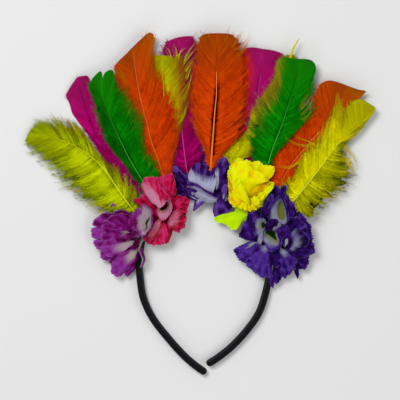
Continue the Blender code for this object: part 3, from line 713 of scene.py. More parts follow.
# spine, left outline and right outline of every feather: x and y in mm, point after point to the tip
OUTLINES = {
    "feather_01_yellow": (
        (-59.0, -13.1, -69.7, 1.6, -79.5, 15.6, -90.2, 27.9, -102.5, 36.9, -117.3, 44.3, -133.7, 48.4,
         -142.7, 50.0),
        (-59.0, -15.6, -72.2, -14.8, -86.1, -13.1, -94.3, -9.0, -100.0, -4.9, -106.6, 1.6, -114.0, 7.4,
         -122.2, 15.6, -131.2, 24.6, -139.4, 32.8, -146.0, 39.4, -148.8, 42.6, -147.6, 45.1, -146.4, 48.4),
        (-55.8, -14.8, -54.9, -4.9, -57.4, 4.1, -64.0, 13.1, -72.2, 19.7, -82.0, 27.1, -90.6, 35.7,
         -96.3, 43.9, -100.0, 50.8, -103.3, 55.8, -109.1, 59.9, -115.6, 61.5, -123.0, 61.5, -130.4, 60.7,
         -137.8, 59.9, -142.7, 54.9, -146.4, 48.4),
    ),
    "feather_02_magenta": (
        (-54.9, 3.3, -64.0, 17.2, -76.3, 32.0, -88.6, 45.9, -95.9, 64.8, -102.5, 85.3, -105.0, 95.1),
        (-58.2, -1.6, -64.8, 4.9, -71.3, 13.1, -78.7, 22.1, -86.1, 31.2, -91.4, 40.2, -97.6, 50.0,
         -104.1, 59.0, -109.5, 66.4, -111.9, 74.6, -114.8, 80.8, -114.6, 82.4, -110.7, 89.0, -105.4, 96.3),
        (-51.7, 2.5, -54.9, 11.5, -61.5, 23.0, -69.7, 34.4, -77.9, 45.9, -82.0, 57.4, -86.1, 70.5,
         -90.2, 83.6, -94.7, 93.5, -96.8, 97.4, -100.9, 97.4, -105.4, 96.3),
    ),
    "feather_03_green": (
        (-48.4, 6.6, -61.5, 27.9, -69.7, 44.3, -77.1, 60.7, -82.0, 75.4, -85.7, 89.4, -86.1, 91.8),
        (-48.4, 4.1, -52.5, 4.9, -58.2, 11.5, -62.3, 19.3, -67.6, 27.5, -74.6, 35.7, -80.4, 41.8,
         -83.6, 47.6, -86.1, 56.6, -89.4, 67.2, -91.8, 77.1, -94.3, 83.6, -95.9, 90.2, -93.5, 94.3,
         -90.2, 97.6, -86.1, 100.9, -84.5, 99.2, -84.2, 94.3),
        (-43.5, 5.7, -38.5, 14.8, -37.7, 22.1, -41.8, 28.7, -45.9, 34.4, -49.6, 40.2, -51.2, 47.6,
         -51.7, 55.8, -52.5, 63.1, -54.5, 68.9, -58.2, 74.6, -63.1, 80.4, -68.1, 85.3, -72.2, 90.2,
         -73.8, 95.1, -74.6, 100.0, -77.1, 102.1, -80.4, 100.9, -82.8, 98.4, -84.2, 94.3),
    ),
    "feather_04_orange": (
        (-33.6, 13.1, -39.8, 32.0, -44.3, 44.3, -48.4, 60.7, -51.7, 73.0, -54.9, 86.9, -58.2, 108.2,
         -59.4, 117.3),
        (-36.1, 10.7, -43.5, 19.7, -48.4, 27.9, -52.5, 36.1, -54.1, 43.5, -55.8, 54.1, -59.0, 65.6,
         -64.8, 75.4, -71.3, 83.6, -73.8, 92.7, -75.8, 101.7, -74.6, 105.4, -70.5, 109.9, -65.6, 114.4,
         -60.7, 119.3),
        (-28.7, 13.1, -26.6, 21.3, -25.4, 31.2, -23.0, 39.4, -21.3, 48.4, -20.9, 56.6, -22.5, 67.2,
         -25.4, 78.7, -30.7, 90.2, -37.7, 102.5, -42.5, 113.2, -43.0, 118.9, -41.4, 125.5, -40.6, 130.4,
         -42.6, 132.8, -46.7, 132.4, -51.7, 127.9, -55.8, 124.2, -60.7, 119.3),
    ),
    "feather_05_yellow": (
        (-30.3, 19.7, -32.0, 44.3, -33.2, 64.8, -34.0, 85.3, -34.9, 100.0, -35.0, 111.5),
        (-31.2, 18.0, -34.4, 27.9, -37.7, 44.3, -40.2, 60.7, -41.8, 77.1, -43.5, 93.5, -44.3, 106.6,
         -42.6, 114.8, -39.4, 114.0, -35.3, 114.4),
        (-29.9, 21.3, -29.9, 32.0, -27.9, 42.6, -21.3, 52.5, -16.4, 64.0, -13.1, 78.7, -11.5, 89.4,
         -11.5, 100.0, -13.9, 108.2, -18.0, 114.0, -23.8, 113.2, -29.5, 113.6, -35.3, 114.4),
    ),
    "feather_06_magenta": (
        (-14.8, 18.0, -17.2, 36.1, -18.9, 52.5, -19.7, 77.1, -20.5, 101.7, -20.9, 123.8),
        (-14.8, 16.4, -18.9, 23.0, -26.2, 25.0, -30.3, 29.5, -27.1, 36.1, -23.0, 44.3, -24.6, 54.1,
         -27.1, 68.9, -30.3, 85.3, -34.4, 101.7, -36.5, 114.0, -34.4, 124.6, -28.7, 127.1, -21.3, 129.2),
        (-13.1, 17.2, -9.0, 23.8, -1.6, 31.2, 0.8, 38.5, -1.6, 44.3, -5.7, 52.5, -6.6, 62.3, -6.6, 73.0,
         -6.1, 89.4, -5.7, 108.2, -5.7, 119.7, -6.6, 125.5, -9.0, 127.9, -10.2, 130.5, -15.6, 130.1,
         -21.3, 129.2),
    ),
    "feather_07_orange": (
        (4.9, 21.3, 5.7, 36.1, 7.0, 52.5, 8.2, 68.9, 9.4, 81.2, 9.4, 93.5, 9.8, 109.9, 10.1, 127.9),
        (3.3, 21.3, 0.8, 30.3, -0.8, 40.2, -4.9, 48.4, -9.0, 55.8, -11.5, 64.8, -12.3, 77.1, -11.5, 91.8,
         -9.8, 106.6, -8.2, 118.1, -6.6, 126.3, -4.1, 130.0, 0.8, 131.6, 9.8, 132.0),
        (7.4, 21.3, 11.5, 25.4, 14.8, 34.4, 20.5, 40.2, 27.9, 47.6, 32.8, 59.9, 34.0, 73.0, 34.4, 86.9,
         34.0, 100.0, 32.8, 111.5, 32.0, 119.7, 29.5, 126.3, 24.6, 130.4, 18.0, 131.8, 9.8, 132.0),
    ),
    "feather_08_magenta": (
        (32.8, 24.6, 35.3, 44.3, 39.4, 62.3, 43.5, 81.2, 45.9, 97.6, 46.7, 114.0),
        (32.0, 22.1, 26.2, 29.5, 25.4, 40.2, 27.1, 52.5, 28.7, 68.9, 28.7, 85.3, 27.9, 101.7, 28.7, 113.2,
         31.2, 118.1, 34.4, 120.5, 40.2, 120.9, 46.7, 119.7),
        (35.3, 22.1, 39.4, 27.9, 43.5, 37.7, 45.9, 50.8, 48.4, 62.3, 52.5, 73.8, 56.6, 83.6, 59.0, 95.1,
         60.7, 105.0, 64.8, 111.5, 64.0, 115.6, 59.0, 117.7, 53.3, 118.9, 46.7, 119.7),
    ),
    "feather_09_yellow": (
        (19.7, 23.8, 28.7, 36.1, 40.2, 50.0, 50.0, 64.8, 59.0, 81.2, 65.6, 100.0, 70.1, 111.5),
        (18.0, 22.1, 13.1, 27.9, 14.8, 36.1, 22.1, 42.6, 32.0, 47.6, 36.9, 54.9, 38.5, 64.8, 42.6, 73.0,
         50.0, 82.8, 56.6, 93.5, 59.0, 103.3, 62.3, 111.5, 66.4, 113.6, 70.5, 114.8),
        (22.1, 23.0, 28.7, 26.2, 39.4, 34.4, 51.7, 46.7, 62.3, 60.7, 69.7, 76.3, 75.4, 91.8, 77.1, 105.0,
         75.4, 111.5, 73.0, 114.0, 70.5, 114.8),
    ),
    "feather_10_green": (
        (50.8, 22.1, 56.6, 40.2, 63.1, 56.6, 67.2, 68.9, 71.3, 81.2, 74.6, 93.5, 77.5, 105.8),
        (48.4, 19.7, 40.2, 25.4, 38.1, 33.6, 36.1, 43.5, 35.7, 52.5, 38.5, 61.5, 41.8, 68.9, 38.5, 74.0,
         41.8, 77.1, 47.6, 81.6, 53.3, 86.5, 57.4, 91.8, 59.4, 100.0, 58.2, 107.4, 60.7, 110.9, 65.6, 112.3,
         70.5, 111.5, 77.9, 110.7),
        (54.1, 22.1, 55.8, 29.5, 59.0, 36.9, 64.8, 41.8, 70.5, 47.6, 76.3, 54.1, 82.0, 59.9, 87.7, 66.4,
         88.6, 74.6, 87.7, 81.2, 89.4, 90.2, 91.0, 100.0, 90.6, 105.8, 87.7, 109.5, 82.8, 110.7,
         77.9, 110.7),
    ),
    "feather_11_orange": (
        (60.7, 5.7, 70.5, 23.8, 82.0, 37.7, 92.7, 50.0, 102.5, 62.3, 109.1, 73.0, 114.8, 82.8),
        (55.8, 4.9, 51.2, 9.8, 50.8, 16.4, 52.5, 26.2, 56.6, 36.1, 64.8, 41.8, 71.3, 49.2, 77.9, 56.6,
         84.5, 63.1, 89.4, 71.3, 89.4, 81.2, 91.8, 88.6, 97.6, 92.7, 103.3, 93.5, 109.9, 91.8, 117.3, 89.0),
        (67.2, 4.1, 73.8, 9.8, 77.1, 15.6, 80.4, 24.6, 86.1, 33.6, 93.5, 41.0, 102.5, 49.2, 109.9, 59.9,
         114.8, 67.2, 118.9, 75.4, 126.3, 78.7, 132.0, 83.6, 132.0, 84.9, 125.5, 86.1, 117.3, 89.0),
    ),
    "feather_12_yellow": (
        (73.0, -4.9, 84.5, 9.0, 94.3, 21.3, 104.1, 34.4, 111.5, 43.5, 120.5, 51.7, 130.4, 60.7, 137.8, 68.1),
        (66.4, -9.0, 59.9, 0.8, 64.8, 9.0, 73.0, 16.4, 76.7, 24.6, 79.1, 34.9, 88.6, 43.5, 98.4, 52.5,
         102.5, 61.5, 106.6, 71.3, 109.5, 77.1, 112.8, 69.7, 115.2, 62.7, 115.8, 69.7, 116.4, 73.8,
         123.0, 77.9, 128.7, 77.9, 134.5, 74.6, 139.4, 71.3),
        (74.6, -15.6, 80.4, -20.5, 86.1, -22.5, 92.7, -17.2, 100.0, -9.8, 106.6, -2.5, 114.8, 4.1,
         119.7, 10.7, 122.2, 16.4, 119.7, 23.8, 116.4, 31.2, 114.0, 36.9, 115.6, 41.8, 121.4, 47.6,
         130.4, 55.8, 136.1, 63.1, 139.8, 68.9, 139.4, 71.3),
    ),
}

# loose hairs that lie over the neighbours: x, y of the foot, the middle and the end of each in mm
HAIRS = {
    "feather_04_orange": (
        -40.2, 59.0, -46.7, 57.4, -51.7, 52.5, -64.8, 91.8, -70.5, 100.0, -77.9, 104.5,
        -63.1, 86.9, -69.7, 96.8, -74.6, 102.5, -65.6, 95.1, -68.9, 100.9, -73.0, 105.0,
        -50.0, 126.3, -51.2, 128.7, -52.5, 130.4,
    ),
    "feather_05_yellow": (
        -22.1, 111.5, -23.8, 117.3, -25.0, 122.2, -27.9, 111.5, -29.5, 116.4, -31.2, 119.7,
        -17.2, 109.9, -13.1, 118.1, -7.4, 125.5, -17.2, 106.6, -11.5, 114.8, -5.7, 121.4,
        -15.6, 101.7, -10.7, 109.1, -6.6, 114.8, -14.8, 95.1, -12.3, 102.5, -9.0, 109.9,
        -23.0, 111.5, -19.7, 117.3, -17.2, 120.5, -15.6, 86.9, -12.3, 93.5, -10.7, 100.0,
        -18.0, 77.1, -14.8, 83.6, -13.1, 89.4, -36.9, 111.5, -39.4, 114.8, -42.6, 118.1,
        -20.5, 62.3, -16.4, 68.9, -13.9, 77.1, -23.0, 56.6, -18.0, 64.0, -15.6, 70.5,
    ),
    "feather_07_orange": (
        24.6, 117.3, 32.0, 123.8, 37.3, 131.2, 26.2, 114.0, 33.6, 121.4, 38.5, 129.6,
        21.3, 119.7, 27.1, 126.3, 31.2, 132.8, 16.4, 125.5, 18.0, 131.2, 20.1, 136.9,
        -1.6, 125.5, -0.8, 130.4, -0.4, 133.7, 2.5, 127.9, 4.1, 131.2, 4.9, 132.8,
        23.0, 123.0, 26.2, 127.9, 27.9, 131.2,
    ),
    "feather_10_green": (
        77.9, 68.9, 83.6, 74.6, 87.7, 81.2, 77.9, 65.6, 84.5, 69.7, 88.6, 76.3,
        80.4, 60.7, 86.1, 66.4, 88.6, 72.2, 76.3, 70.5, 81.2, 77.1, 85.3, 83.6,
        46.7, 74.6, 49.2, 82.0, 46.7, 88.6, 42.6, 67.2, 41.8, 59.0, 40.2, 52.5,
    ),
    "feather_12_yellow": (
        102.5, 47.6, 105.8, 65.6, 109.1, 81.6, 103.3, 49.2, 107.4, 65.6, 109.5, 79.5,
        104.1, 49.2, 109.1, 64.0, 111.5, 74.6, 105.0, 50.0, 110.7, 62.3, 112.8, 72.2,
        105.8, 49.2, 111.5, 59.0, 114.0, 67.2, 106.6, 48.4, 112.3, 55.8, 114.4, 62.3,
        100.9, 47.6, 104.1, 62.3, 106.6, 73.8, 99.2, 45.9, 101.7, 59.0, 103.7, 68.9,
        97.6, 44.3, 99.2, 55.8, 100.9, 63.1, 102.5, 50.0, 106.6, 68.9, 108.2, 82.8,
        95.1, 41.8, 95.9, 52.5, 97.6, 59.9, 92.7, 37.7, 92.7, 47.6, 93.5, 54.1,
        104.1, 51.7, 109.9, 68.9, 110.7, 79.5, 109.9, 41.8, 123.8, 52.5, 139.4, 68.1,
        111.5, 43.5, 121.4, 49.2, 128.7, 52.5, 110.7, 42.6, 118.9, 46.7, 124.6, 47.6,
        114.0, 39.4, 121.4, 32.8, 124.6, 20.5, 113.2, 27.9, 120.5, 21.3, 121.8, 15.6,
        102.5, 7.4, 111.5, 4.9, 115.6, 4.5, 95.9, -0.8, 105.0, -3.3, 109.1, -2.5,
        108.2, 43.5, 120.5, 47.6, 130.4, 54.9, 109.1, 42.6, 120.5, 45.9, 127.9, 51.7,
        114.8, 37.7, 121.4, 30.3, 125.5, 19.7, 106.6, 55.8, 110.7, 68.1, 108.2, 82.0,
        114.0, 55.8, 115.6, 64.8, 109.9, 77.9, 92.7, 41.8, 79.5, 39.4, 65.6, 46.7,
        78.7, 27.9, 68.1, 22.1, 57.4, 25.4, 97.6, 36.1, 86.1, 42.6, 75.4, 46.7,
        118.1, 29.5, 120.5, 22.1, 122.2, 14.8, 115.6, 31.2, 118.9, 23.0, 120.5, 17.2,
    ),
    "feather_11_orange": (
        92.7, 77.9, 91.0, 84.5, 89.8, 91.0, 95.1, 80.4, 94.3, 86.9, 92.7, 91.8,
        97.6, 82.0, 97.6, 88.6, 96.3, 93.1, 100.9, 85.3, 100.9, 89.4, 99.6, 93.9,
        91.0, 74.6, 88.6, 80.4, 87.7, 86.9, 90.2, 70.5, 86.9, 76.3, 86.5, 82.8,
    ),
    "feather_01_yellow": (
        -79.5, -10.7, -87.7, -9.0, -94.3, -8.2, -82.8, -13.1, -89.4, -14.8, -95.9, -10.7,
        -105.8, 2.5, -112.3, 4.9, -118.1, 8.2, -127.1, 59.9, -129.6, 61.5, -131.2, 62.3,
    ),
}

FEATHERS = [
    ("feather_01_yellow", LEMON, dict(
        level=1, quill=(-46.5, -26.5, 7.3), flat=0.90, shaft=0.55, stray=(1, 0.5, 0.0, 0.7, 0.3),
        tones=(0.24, -0.04), body=0.80, split=0.40, patchy=2.6, dim=(0.5, 0.1))),
    ("feather_02_magenta", MAGENTA, dict(
        level=0, quill=(-42.0, -19.0, 7.3), flat=0.45, shaft=0.35, bare=(1.1, 1.2), body=0.93, shaft_shadow=0.0)),
    ("feather_03_green", GREEN, dict(
        level=3, quill=(-28.7, -6.8, 7.4), flat=0.74, shaft=0.33, clefts=(-0.62,), tones=(-0.18, 0.06),
        stray=(1, 0.35, 0.1, 0.6, 0.6), body=0.84, shaft_shadow=0.4)),
    ("feather_04_orange", ORANGE, dict(
        level=2, quill=(-24.2, -4.6, 7.4), flat=0.72, shaft=0.3, bare=(-0.1, 1.1), tones=(-0.04, 0.0),
        stray=(1, 0.5, 0.5, 0.8, 0.35), shaft_shadow=0.0)),
    ("feather_05_yellow", YELLOW, dict(
        level=1, quill=(-27.0, -6.0, 7.4), flat=0.86, shaft=0.5, bare=(0.66, 1.1), tones=(0.4, 0.75),
        stray=(1, 1.5, 0.1, 0.8, 0.15), body=0.84, shaft_shadow=0.0, proud=2.4, wisps=0.45)),
    ("feather_06_magenta", MAGENTA, dict(
        level=0, lift=1.5, quill=(-6.0, 9.0, 9.4), flat=0.84, shaft=0.5, bare=(-0.1, 0.34), shaft_shadow=0.15,
        stray=(2, 0.8, 0.3, 0.6, 0.0))),
    ("feather_07_orange", ORANGE, dict(
        level=2, lift=0.4, quill=(1.6, 12.8, 9.3), flat=0.80, shaft=1.1, bare=(-0.1, 0.74),
        tones=(0.07, 0.07), body=0.88, shaft_shadow=1.4, slim=2.0)),
    ("feather_08_magenta", MAGENTA, dict(
        level=0, quill=(25.6, -4.6, 7.4), flat=0.62, shaft=0.3, bare=(0.5, 0.85), tones=(0.2, 0.1),
        stray=(0, 2.2, 0.05, 0.8, 0.05), shaft_shadow=0.0)),
    ("feather_09_yellow", YELLOW, dict(
        level=1, quill=(20.8, -3.4, 7.4), flat=0.95, shaft=0.4, bare=(0.9, 1.2), tones=(0.26, 0.3),
        tail=((72.2, 118.9), (77.1, 127.1)), stray=(2, 0.35, 0.0, 1.2, 0.35), shaft_shadow=0.0)),
    ("feather_10_green", GREEN, dict(
        level=3, quill=(39.0, -15.2, 7.4), flat=0.66, shaft=0.38, bare=(-0.1, 0.75), clefts=(0.50,),
        stray=(0, 1.2, 0.26, 0.78, 0.5), tones=(0.07, 0.07), body=0.82, wisps=1.0)),
    ("feather_11_orange", ORANGE, dict(
        level=2, quill=(43.0, -20.0, 7.4), flat=0.70, shaft=0.34, bare=(-0.1, 0.6), body=0.9,
        stray=(1, 0.4, 0.6, 1.1, 0.35), wisps=0.3)),
    ("feather_12_yellow", YELLOW, dict(
        level=3, quill=(46.6, -26.2, 7.4), flat=0.78, shaft=0.5, stray=(0, 0.3, 0.1, 0.5, 0.5),
        tones=(0.42, -0.05), body=0.80, shaft_shadow=0.05, split=0.34, wisps=0.35, patchy=1.8, dim=(0.0, 0.36))),
]
FIRST_SEED = 40

for number, (node, (barb_paint, shaft_paint, slot), shape) in enumerate(FEATHERS):
    name = node.replace("feather", "dyed_feather")
    feather = build_feather(name, FIRST_SEED + number, *OUTLINES[node], HAIRS.get(node, ()), **shape)
    dress(feather, slot, (node,), barb_paint, shaft_paint)


# Orchid carnation on the left. Layers of thin polyester satin, die-cut with a pinked edge, dyed from
# the rim inwards, crimped with heat and threaded on a green plastic calyx that is glued to the band.

# rows of a sheet from root to rim, its thickness and the teeth of its cut rim in mm
SHEET_OUT = 11
CLOTH_THICK = 0.3
TOOTH_WIDTH = 2.5
TOOTH_STEPS = 4

# the pit of a cup: rows of the sheet that line it, how far its wall and its middle lie below the root
PIT_ROWS = 2.0
PIT_WALL = 0.9
PIT_MIDDLE = 1.3
FULL_TURN = 6.28


def spread(values, across, closed):
    """A value given at even places along the rim, read at every point."""
    row = list(values) + list(values[:1]) if closed else list(values)
    if len(row) == 1:
        row = row * 2
    return np.interp(across, np.linspace(0.0, 1.0, len(row)), row)


def shape_petal(seed, part, pale, folds, ruffle, belly, tone, root, rim, throat=(0.0, 0.0)):
    """One petal: a cloth sheet from its root to its rim, bulged, crimped and pinked.

    part: outer, front or cup, which is closed to a funnel with a pit in its middle
    pale: how far out the undyed white reaches, at even places along the rim; tone: how light the dye is, the
    same way, which in some petals also paints light and shade
    folds: waves along the rim; ruffle: how high they stand; belly: how far the middle bulges
    root and rim: x, y and z in mm, point after point
    throat: how strong the throat's colour is and how far out it reaches; in the pit of a cup it is painted
    shadow
    """
    closed = part == "cup"
    root = in_rows(root, 3)
    rim = in_rows(rim, 3)
    rim_line = measured(rim[-2:] + rim + rim[:2] if closed else rim)
    width = rim_line[1][-1]
    cuts = int(np.clip(round(width / TOOTH_WIDTH), 3, 19))
    bpy.ops.object.select_all(action="DESELECT")
    bpy.ops.mesh.primitive_grid_add(x_subdivisions=TOOTH_STEPS * cuts, y_subdivisions=SHEET_OUT, size=2.0)
    piece = bpy.context.object
    mesh = piece.data
    flat = np.empty(len(mesh.vertices) * 3, np.float32)
    mesh.vertices.foreach_get("co", flat)
    flat = flat.reshape(-1, 3).astype(float)
    across = (flat[:, 0] + 1.0) / 2.0
    out = (flat[:, 1] + 1.0) / 2.0
    pit = np.zeros_like(out)
    if closed:
        edge = smooth_row(rim[-1:] + rim + rim[:2], 1.0 + across * len(rim))
        foot = smooth_row(root[-1:] + root + root[:2], 1.0 + across * len(root))
        row = np.round(out * SHEET_OUT)
        centre = foot.mean(axis=0) - np.array((0.0, 0.0, PIT_MIDDLE))
        deep = foot * (0.8, 0.8, 1.0) + centre * (0.2, 0.2, 0.0) - np.array((0.0, 0.0, PIT_WALL))
        pit = np.where(row <= PIT_ROWS, 1.0, 0.0)
        out = np.clip((row - PIT_ROWS) / (SHEET_OUT - PIT_ROWS), 0.0, 1.0)
    else:
        edge = on_line(rim_line, across)
        foot = on_line(measured(root), across) if len(root) > 1 else np.repeat(root, len(across), axis=0)
    dice = np.random.default_rng(seed)
    turn = dice.uniform(0.0, FULL_TURN)
    slip = across + 0.04 * np.sin(2.0 * np.pi * across + turn) * (0.0 if closed else 1.0)
    wave = np.sin(2.0 * np.pi * folds * slip + turn + 0.8 * out)
    small = np.sin(2.0 * np.pi * round(folds * 2.6) * across + 2.0 * turn)
    crimp = np.sin(2.0 * np.pi * round(folds * 4.4) * across + 3.0 * turn)
    length = np.linalg.norm(edge - foot, axis=1) + 1e-6
    teeth = np.abs((across * cuts) % 1.0 - 0.5) * (2.0 + 0.8 * np.sin(np.floor(across * cuts) * 2.7 + turn))
    bite = 0.75 * teeth * smooth_step(0.9, 1.0, out) + ruffle * (1.0 - wave) * 0.5 * out**5
    reach = np.clip(out * (1.0 + (0.45 * ruffle + 0.35 - bite) / length), 0.0, 1.15)
    place = foot * (1.0 - reach[:, None]) + edge * reach[:, None]
    place[:, 2] = foot[:, 2] + (edge[:, 2] - foot[:, 2]) * reach**(0.75 if closed else 1.15)
    soft = np.zeros_like(across)
    for _ in range(5):
        way = dice.uniform(0.0, FULL_TURN)
        rate = 6.283 / dice.uniform(5.0, 11.0)
        along = place[:, 0] * np.cos(way) + place[:, 1] * np.sin(way)
        soft += 0.3 * np.sin(along * rate + dice.uniform(0.0, FULL_TURN))
    place[:, 2] += belly * np.sin(np.pi * np.clip(reach, 0.0, 1.0))
    frill = 1.1 * wave * out**3 + 0.4 * small * out**5 + 0.22 * crimp * out**7
    place[:, 2] += ruffle * (frill + 1.0 * soft * smooth_step(0.05, 0.5, out))
    sway = ruffle * np.sin(np.pi * out) * (0.5 * soft + 0.35 * wave)
    outwards = (edge - foot) / length[:, None]
    place[:, 0] += sway * outwards[:, 1]
    place[:, 1] -= sway * outwards[:, 0]
    if closed:
        place = np.where((row <= 1.0)[:, None], deep, place)
        place = np.where((row <= 0.0)[:, None], centre, place)
    mesh.vertices.foreach_set("co", (place * MM).astype(np.float32).ravel())
    fine = 0.5 * np.sin(across * width * 2.1 + turn * 3.0) + 0.5 * np.sin(across * width * 4.3 + turn)
    white = spread(pale, across, closed)
    blush = 1.0 - smooth_step(white - 0.26, white + 0.22, out + 0.05 * fine)
    tinge = 1.0 - smooth_step(throat[1] - 0.25, throat[1], out)
    # Painted light and shade: besides the dye, the tone rises on the ridges of the waves and soft bumps and
    # falls in their valleys.
    dye = spread(tone, across, closed) + 0.20 * wave * out**1.5 + 0.08 * small * out**2
    dye = dye + 0.06 * crimp * out**3 + 0.26 * soft * (0.4 + 0.6 * out)
    mark_points(mesh, "tone", dye)
    mark_points(mesh, "across", across * width + seed % 17)
    mark_points(mesh, "out", out)
    mark_points(mesh, "pale", blush * np.clip(white * 5.0, 0.0, 1.0))
    mark_points(mesh, "throat", throat[0] * np.maximum(pit, tinge * (0.32 if closed else 1.0)))
    if closed:
        bpy.ops.object.mode_set(mode="EDIT")
        bpy.ops.mesh.select_all(action="SELECT")
        bpy.ops.mesh.remove_doubles(threshold=0.00002)
        bpy.ops.object.mode_set(mode="OBJECT")
    cloth = piece.modifiers.new("cloth_thickness", "SOLIDIFY")
    cloth.thickness = CLOTH_THICK * MM
    cloth.offset = 0.0
    bpy.ops.object.modifier_apply(modifier=cloth.name)
    bpy.ops.object.shade_smooth_by_angle(angle=math.radians(70.0))
    return piece


def gather(pieces, name):
    """Join the pieces into one of this name, with its place in its mesh."""
    bpy.ops.object.select_all(action="DESELECT")
    for piece in pieces:
        piece.select_set(True)
    bpy.context.view_layer.objects.active = pieces[0]
    if len(pieces) > 1:
        bpy.ops.object.join()
    joined = bpy.context.object
    joined.name = name
    joined.data.name = name
    bpy.ops.object.transform_apply(location=True, rotation=True, scale=True)
    return joined


def petal_cloth(name, deep, main, light, white, edge, throat, tinge, veins=1.0):
    """Rim-dyed satin: white where the dye hasn't reached, fine crimped veins, a painted highlight along the
    cut rim and painted shadow in the pit of a cup.
    """
    paint = Paint(name, Roughness=0.7, Specular_IOR_Level=0.03)
    out = paint.attribute("out")
    pale = paint.attribute("pale")
    depth = paint.attribute("throat")
    grain = paint.node("ShaderNodeCombineXYZ", {}, {"X": paint.attribute("across") * 1.1, "Y": out * 2.0})
    vein = paint.noise(1.0, 3.0, grain)
    cloud = paint.noise(230.0, 3.0)
    tint = paint.attribute("tone") + (vein - 0.5) * (0.5 * veins) + (cloud - 0.5) * 0.8
    colour = paint.ramp(tint, [(0.05, deep), (0.45, main), (0.85, light)])
    share = paint.limit(pale + (vein - 0.5) * (0.8 * veins) + (cloud - 0.5) * 0.3, 0.1, 0.9)
    shade = paint.mix(paint.limit(tint, -0.3, 0.5), light, white)
    colour = paint.mix(share, colour, shade)
    # Painted highlight: a light line along the cut rim.
    colour = paint.mix(paint.limit(out, 0.94, 1.0) * 0.45, colour, edge)
    colour = paint.mix(paint.limit(depth, 0.0, 0.5), colour, tinge)
    # Painted shadow: the pit of a cup takes the dark throat colour.
    colour = paint.mix(paint.limit(depth, 0.6, 1.0), colour, throat)
    weave = paint.noise(1400.0, 1.0)
    paint.bump(vein * 0.8 + weave * 0.2, 0.6, 0.0004)
    return paint.set(Base_Color=colour, Roughness=0.5 + cloud * 0.25)


def calyx_plastic():
    paint = Paint("calyx_plastic", Roughness=0.45)
    cloud = paint.noise(300.0, 3.0)
    paint.bump(cloud, 0.3, 0.0002)
    return paint.set(Base_Color=paint.mix(cloud, (0.02, 0.10, 0.01), (0.07, 0.24, 0.03)))


CALYX_PLASTIC = calyx_plastic()
CALYX_FOOT = 7.3
CALYX_SIDES = 20


def build_calyx(name, x, y, top):
    """The calyx on the band and the pin that holds the layers."""
    foot = CALYX_FOOT
    rows = [(4.1, foot), (4.6, foot + 0.5), (3.9, foot + 2.4), (2.6, top), (1.4, top + 0.1), (1.2, top + 2.0)]
    bpy.ops.object.select_all(action="DESELECT")
    bpy.ops.mesh.primitive_circle_add(vertices=CALYX_SIDES, radius=rows[0][0] * MM, fill_type="NGON",
                                      location=(x * MM, y * MM, foot * MM), enter_editmode=True)
    for (radius, z), (next_radius, next_z) in zip(rows, rows[1:]):
        bpy.ops.mesh.extrude_region_move(TRANSFORM_OT_translate={"value": (0.0, 0.0, (next_z - z) * MM)})
        size = next_radius / radius
        bpy.ops.transform.resize(value=(size, size, 1.0), center_override=(x * MM, y * MM, next_z * MM))
    close_shell(40.0)
    return gather([bpy.context.object], name)


def build_flower(prefix, table, cloth, x, y, calyx_top, outer_slot, front_slot):
    """Shape every petal, join them by layer and stand them in for the plain layers."""
    layers = {"outer": [], "front": []}
    for number, row in enumerate(table):
        layer = "outer" if row[0] == "outer" else "front"
        layers[layer].append(shape_petal(number + 100 * len(table), *row))
    back = gather(layers["outer"], prefix + "_back_petals")
    front = gather(layers["front"], prefix + "_front_petals")
    calyx = build_calyx(prefix + "_calyx", x, y, calyx_top)
    dress(back, outer_slot, (prefix + "_outer",), cloth)
    dress(front, front_slot, (prefix + "_middle", prefix + "_inner"), cloth)
    dress(calyx, "calyx_green", (prefix + "_hub",), CALYX_PLASTIC)


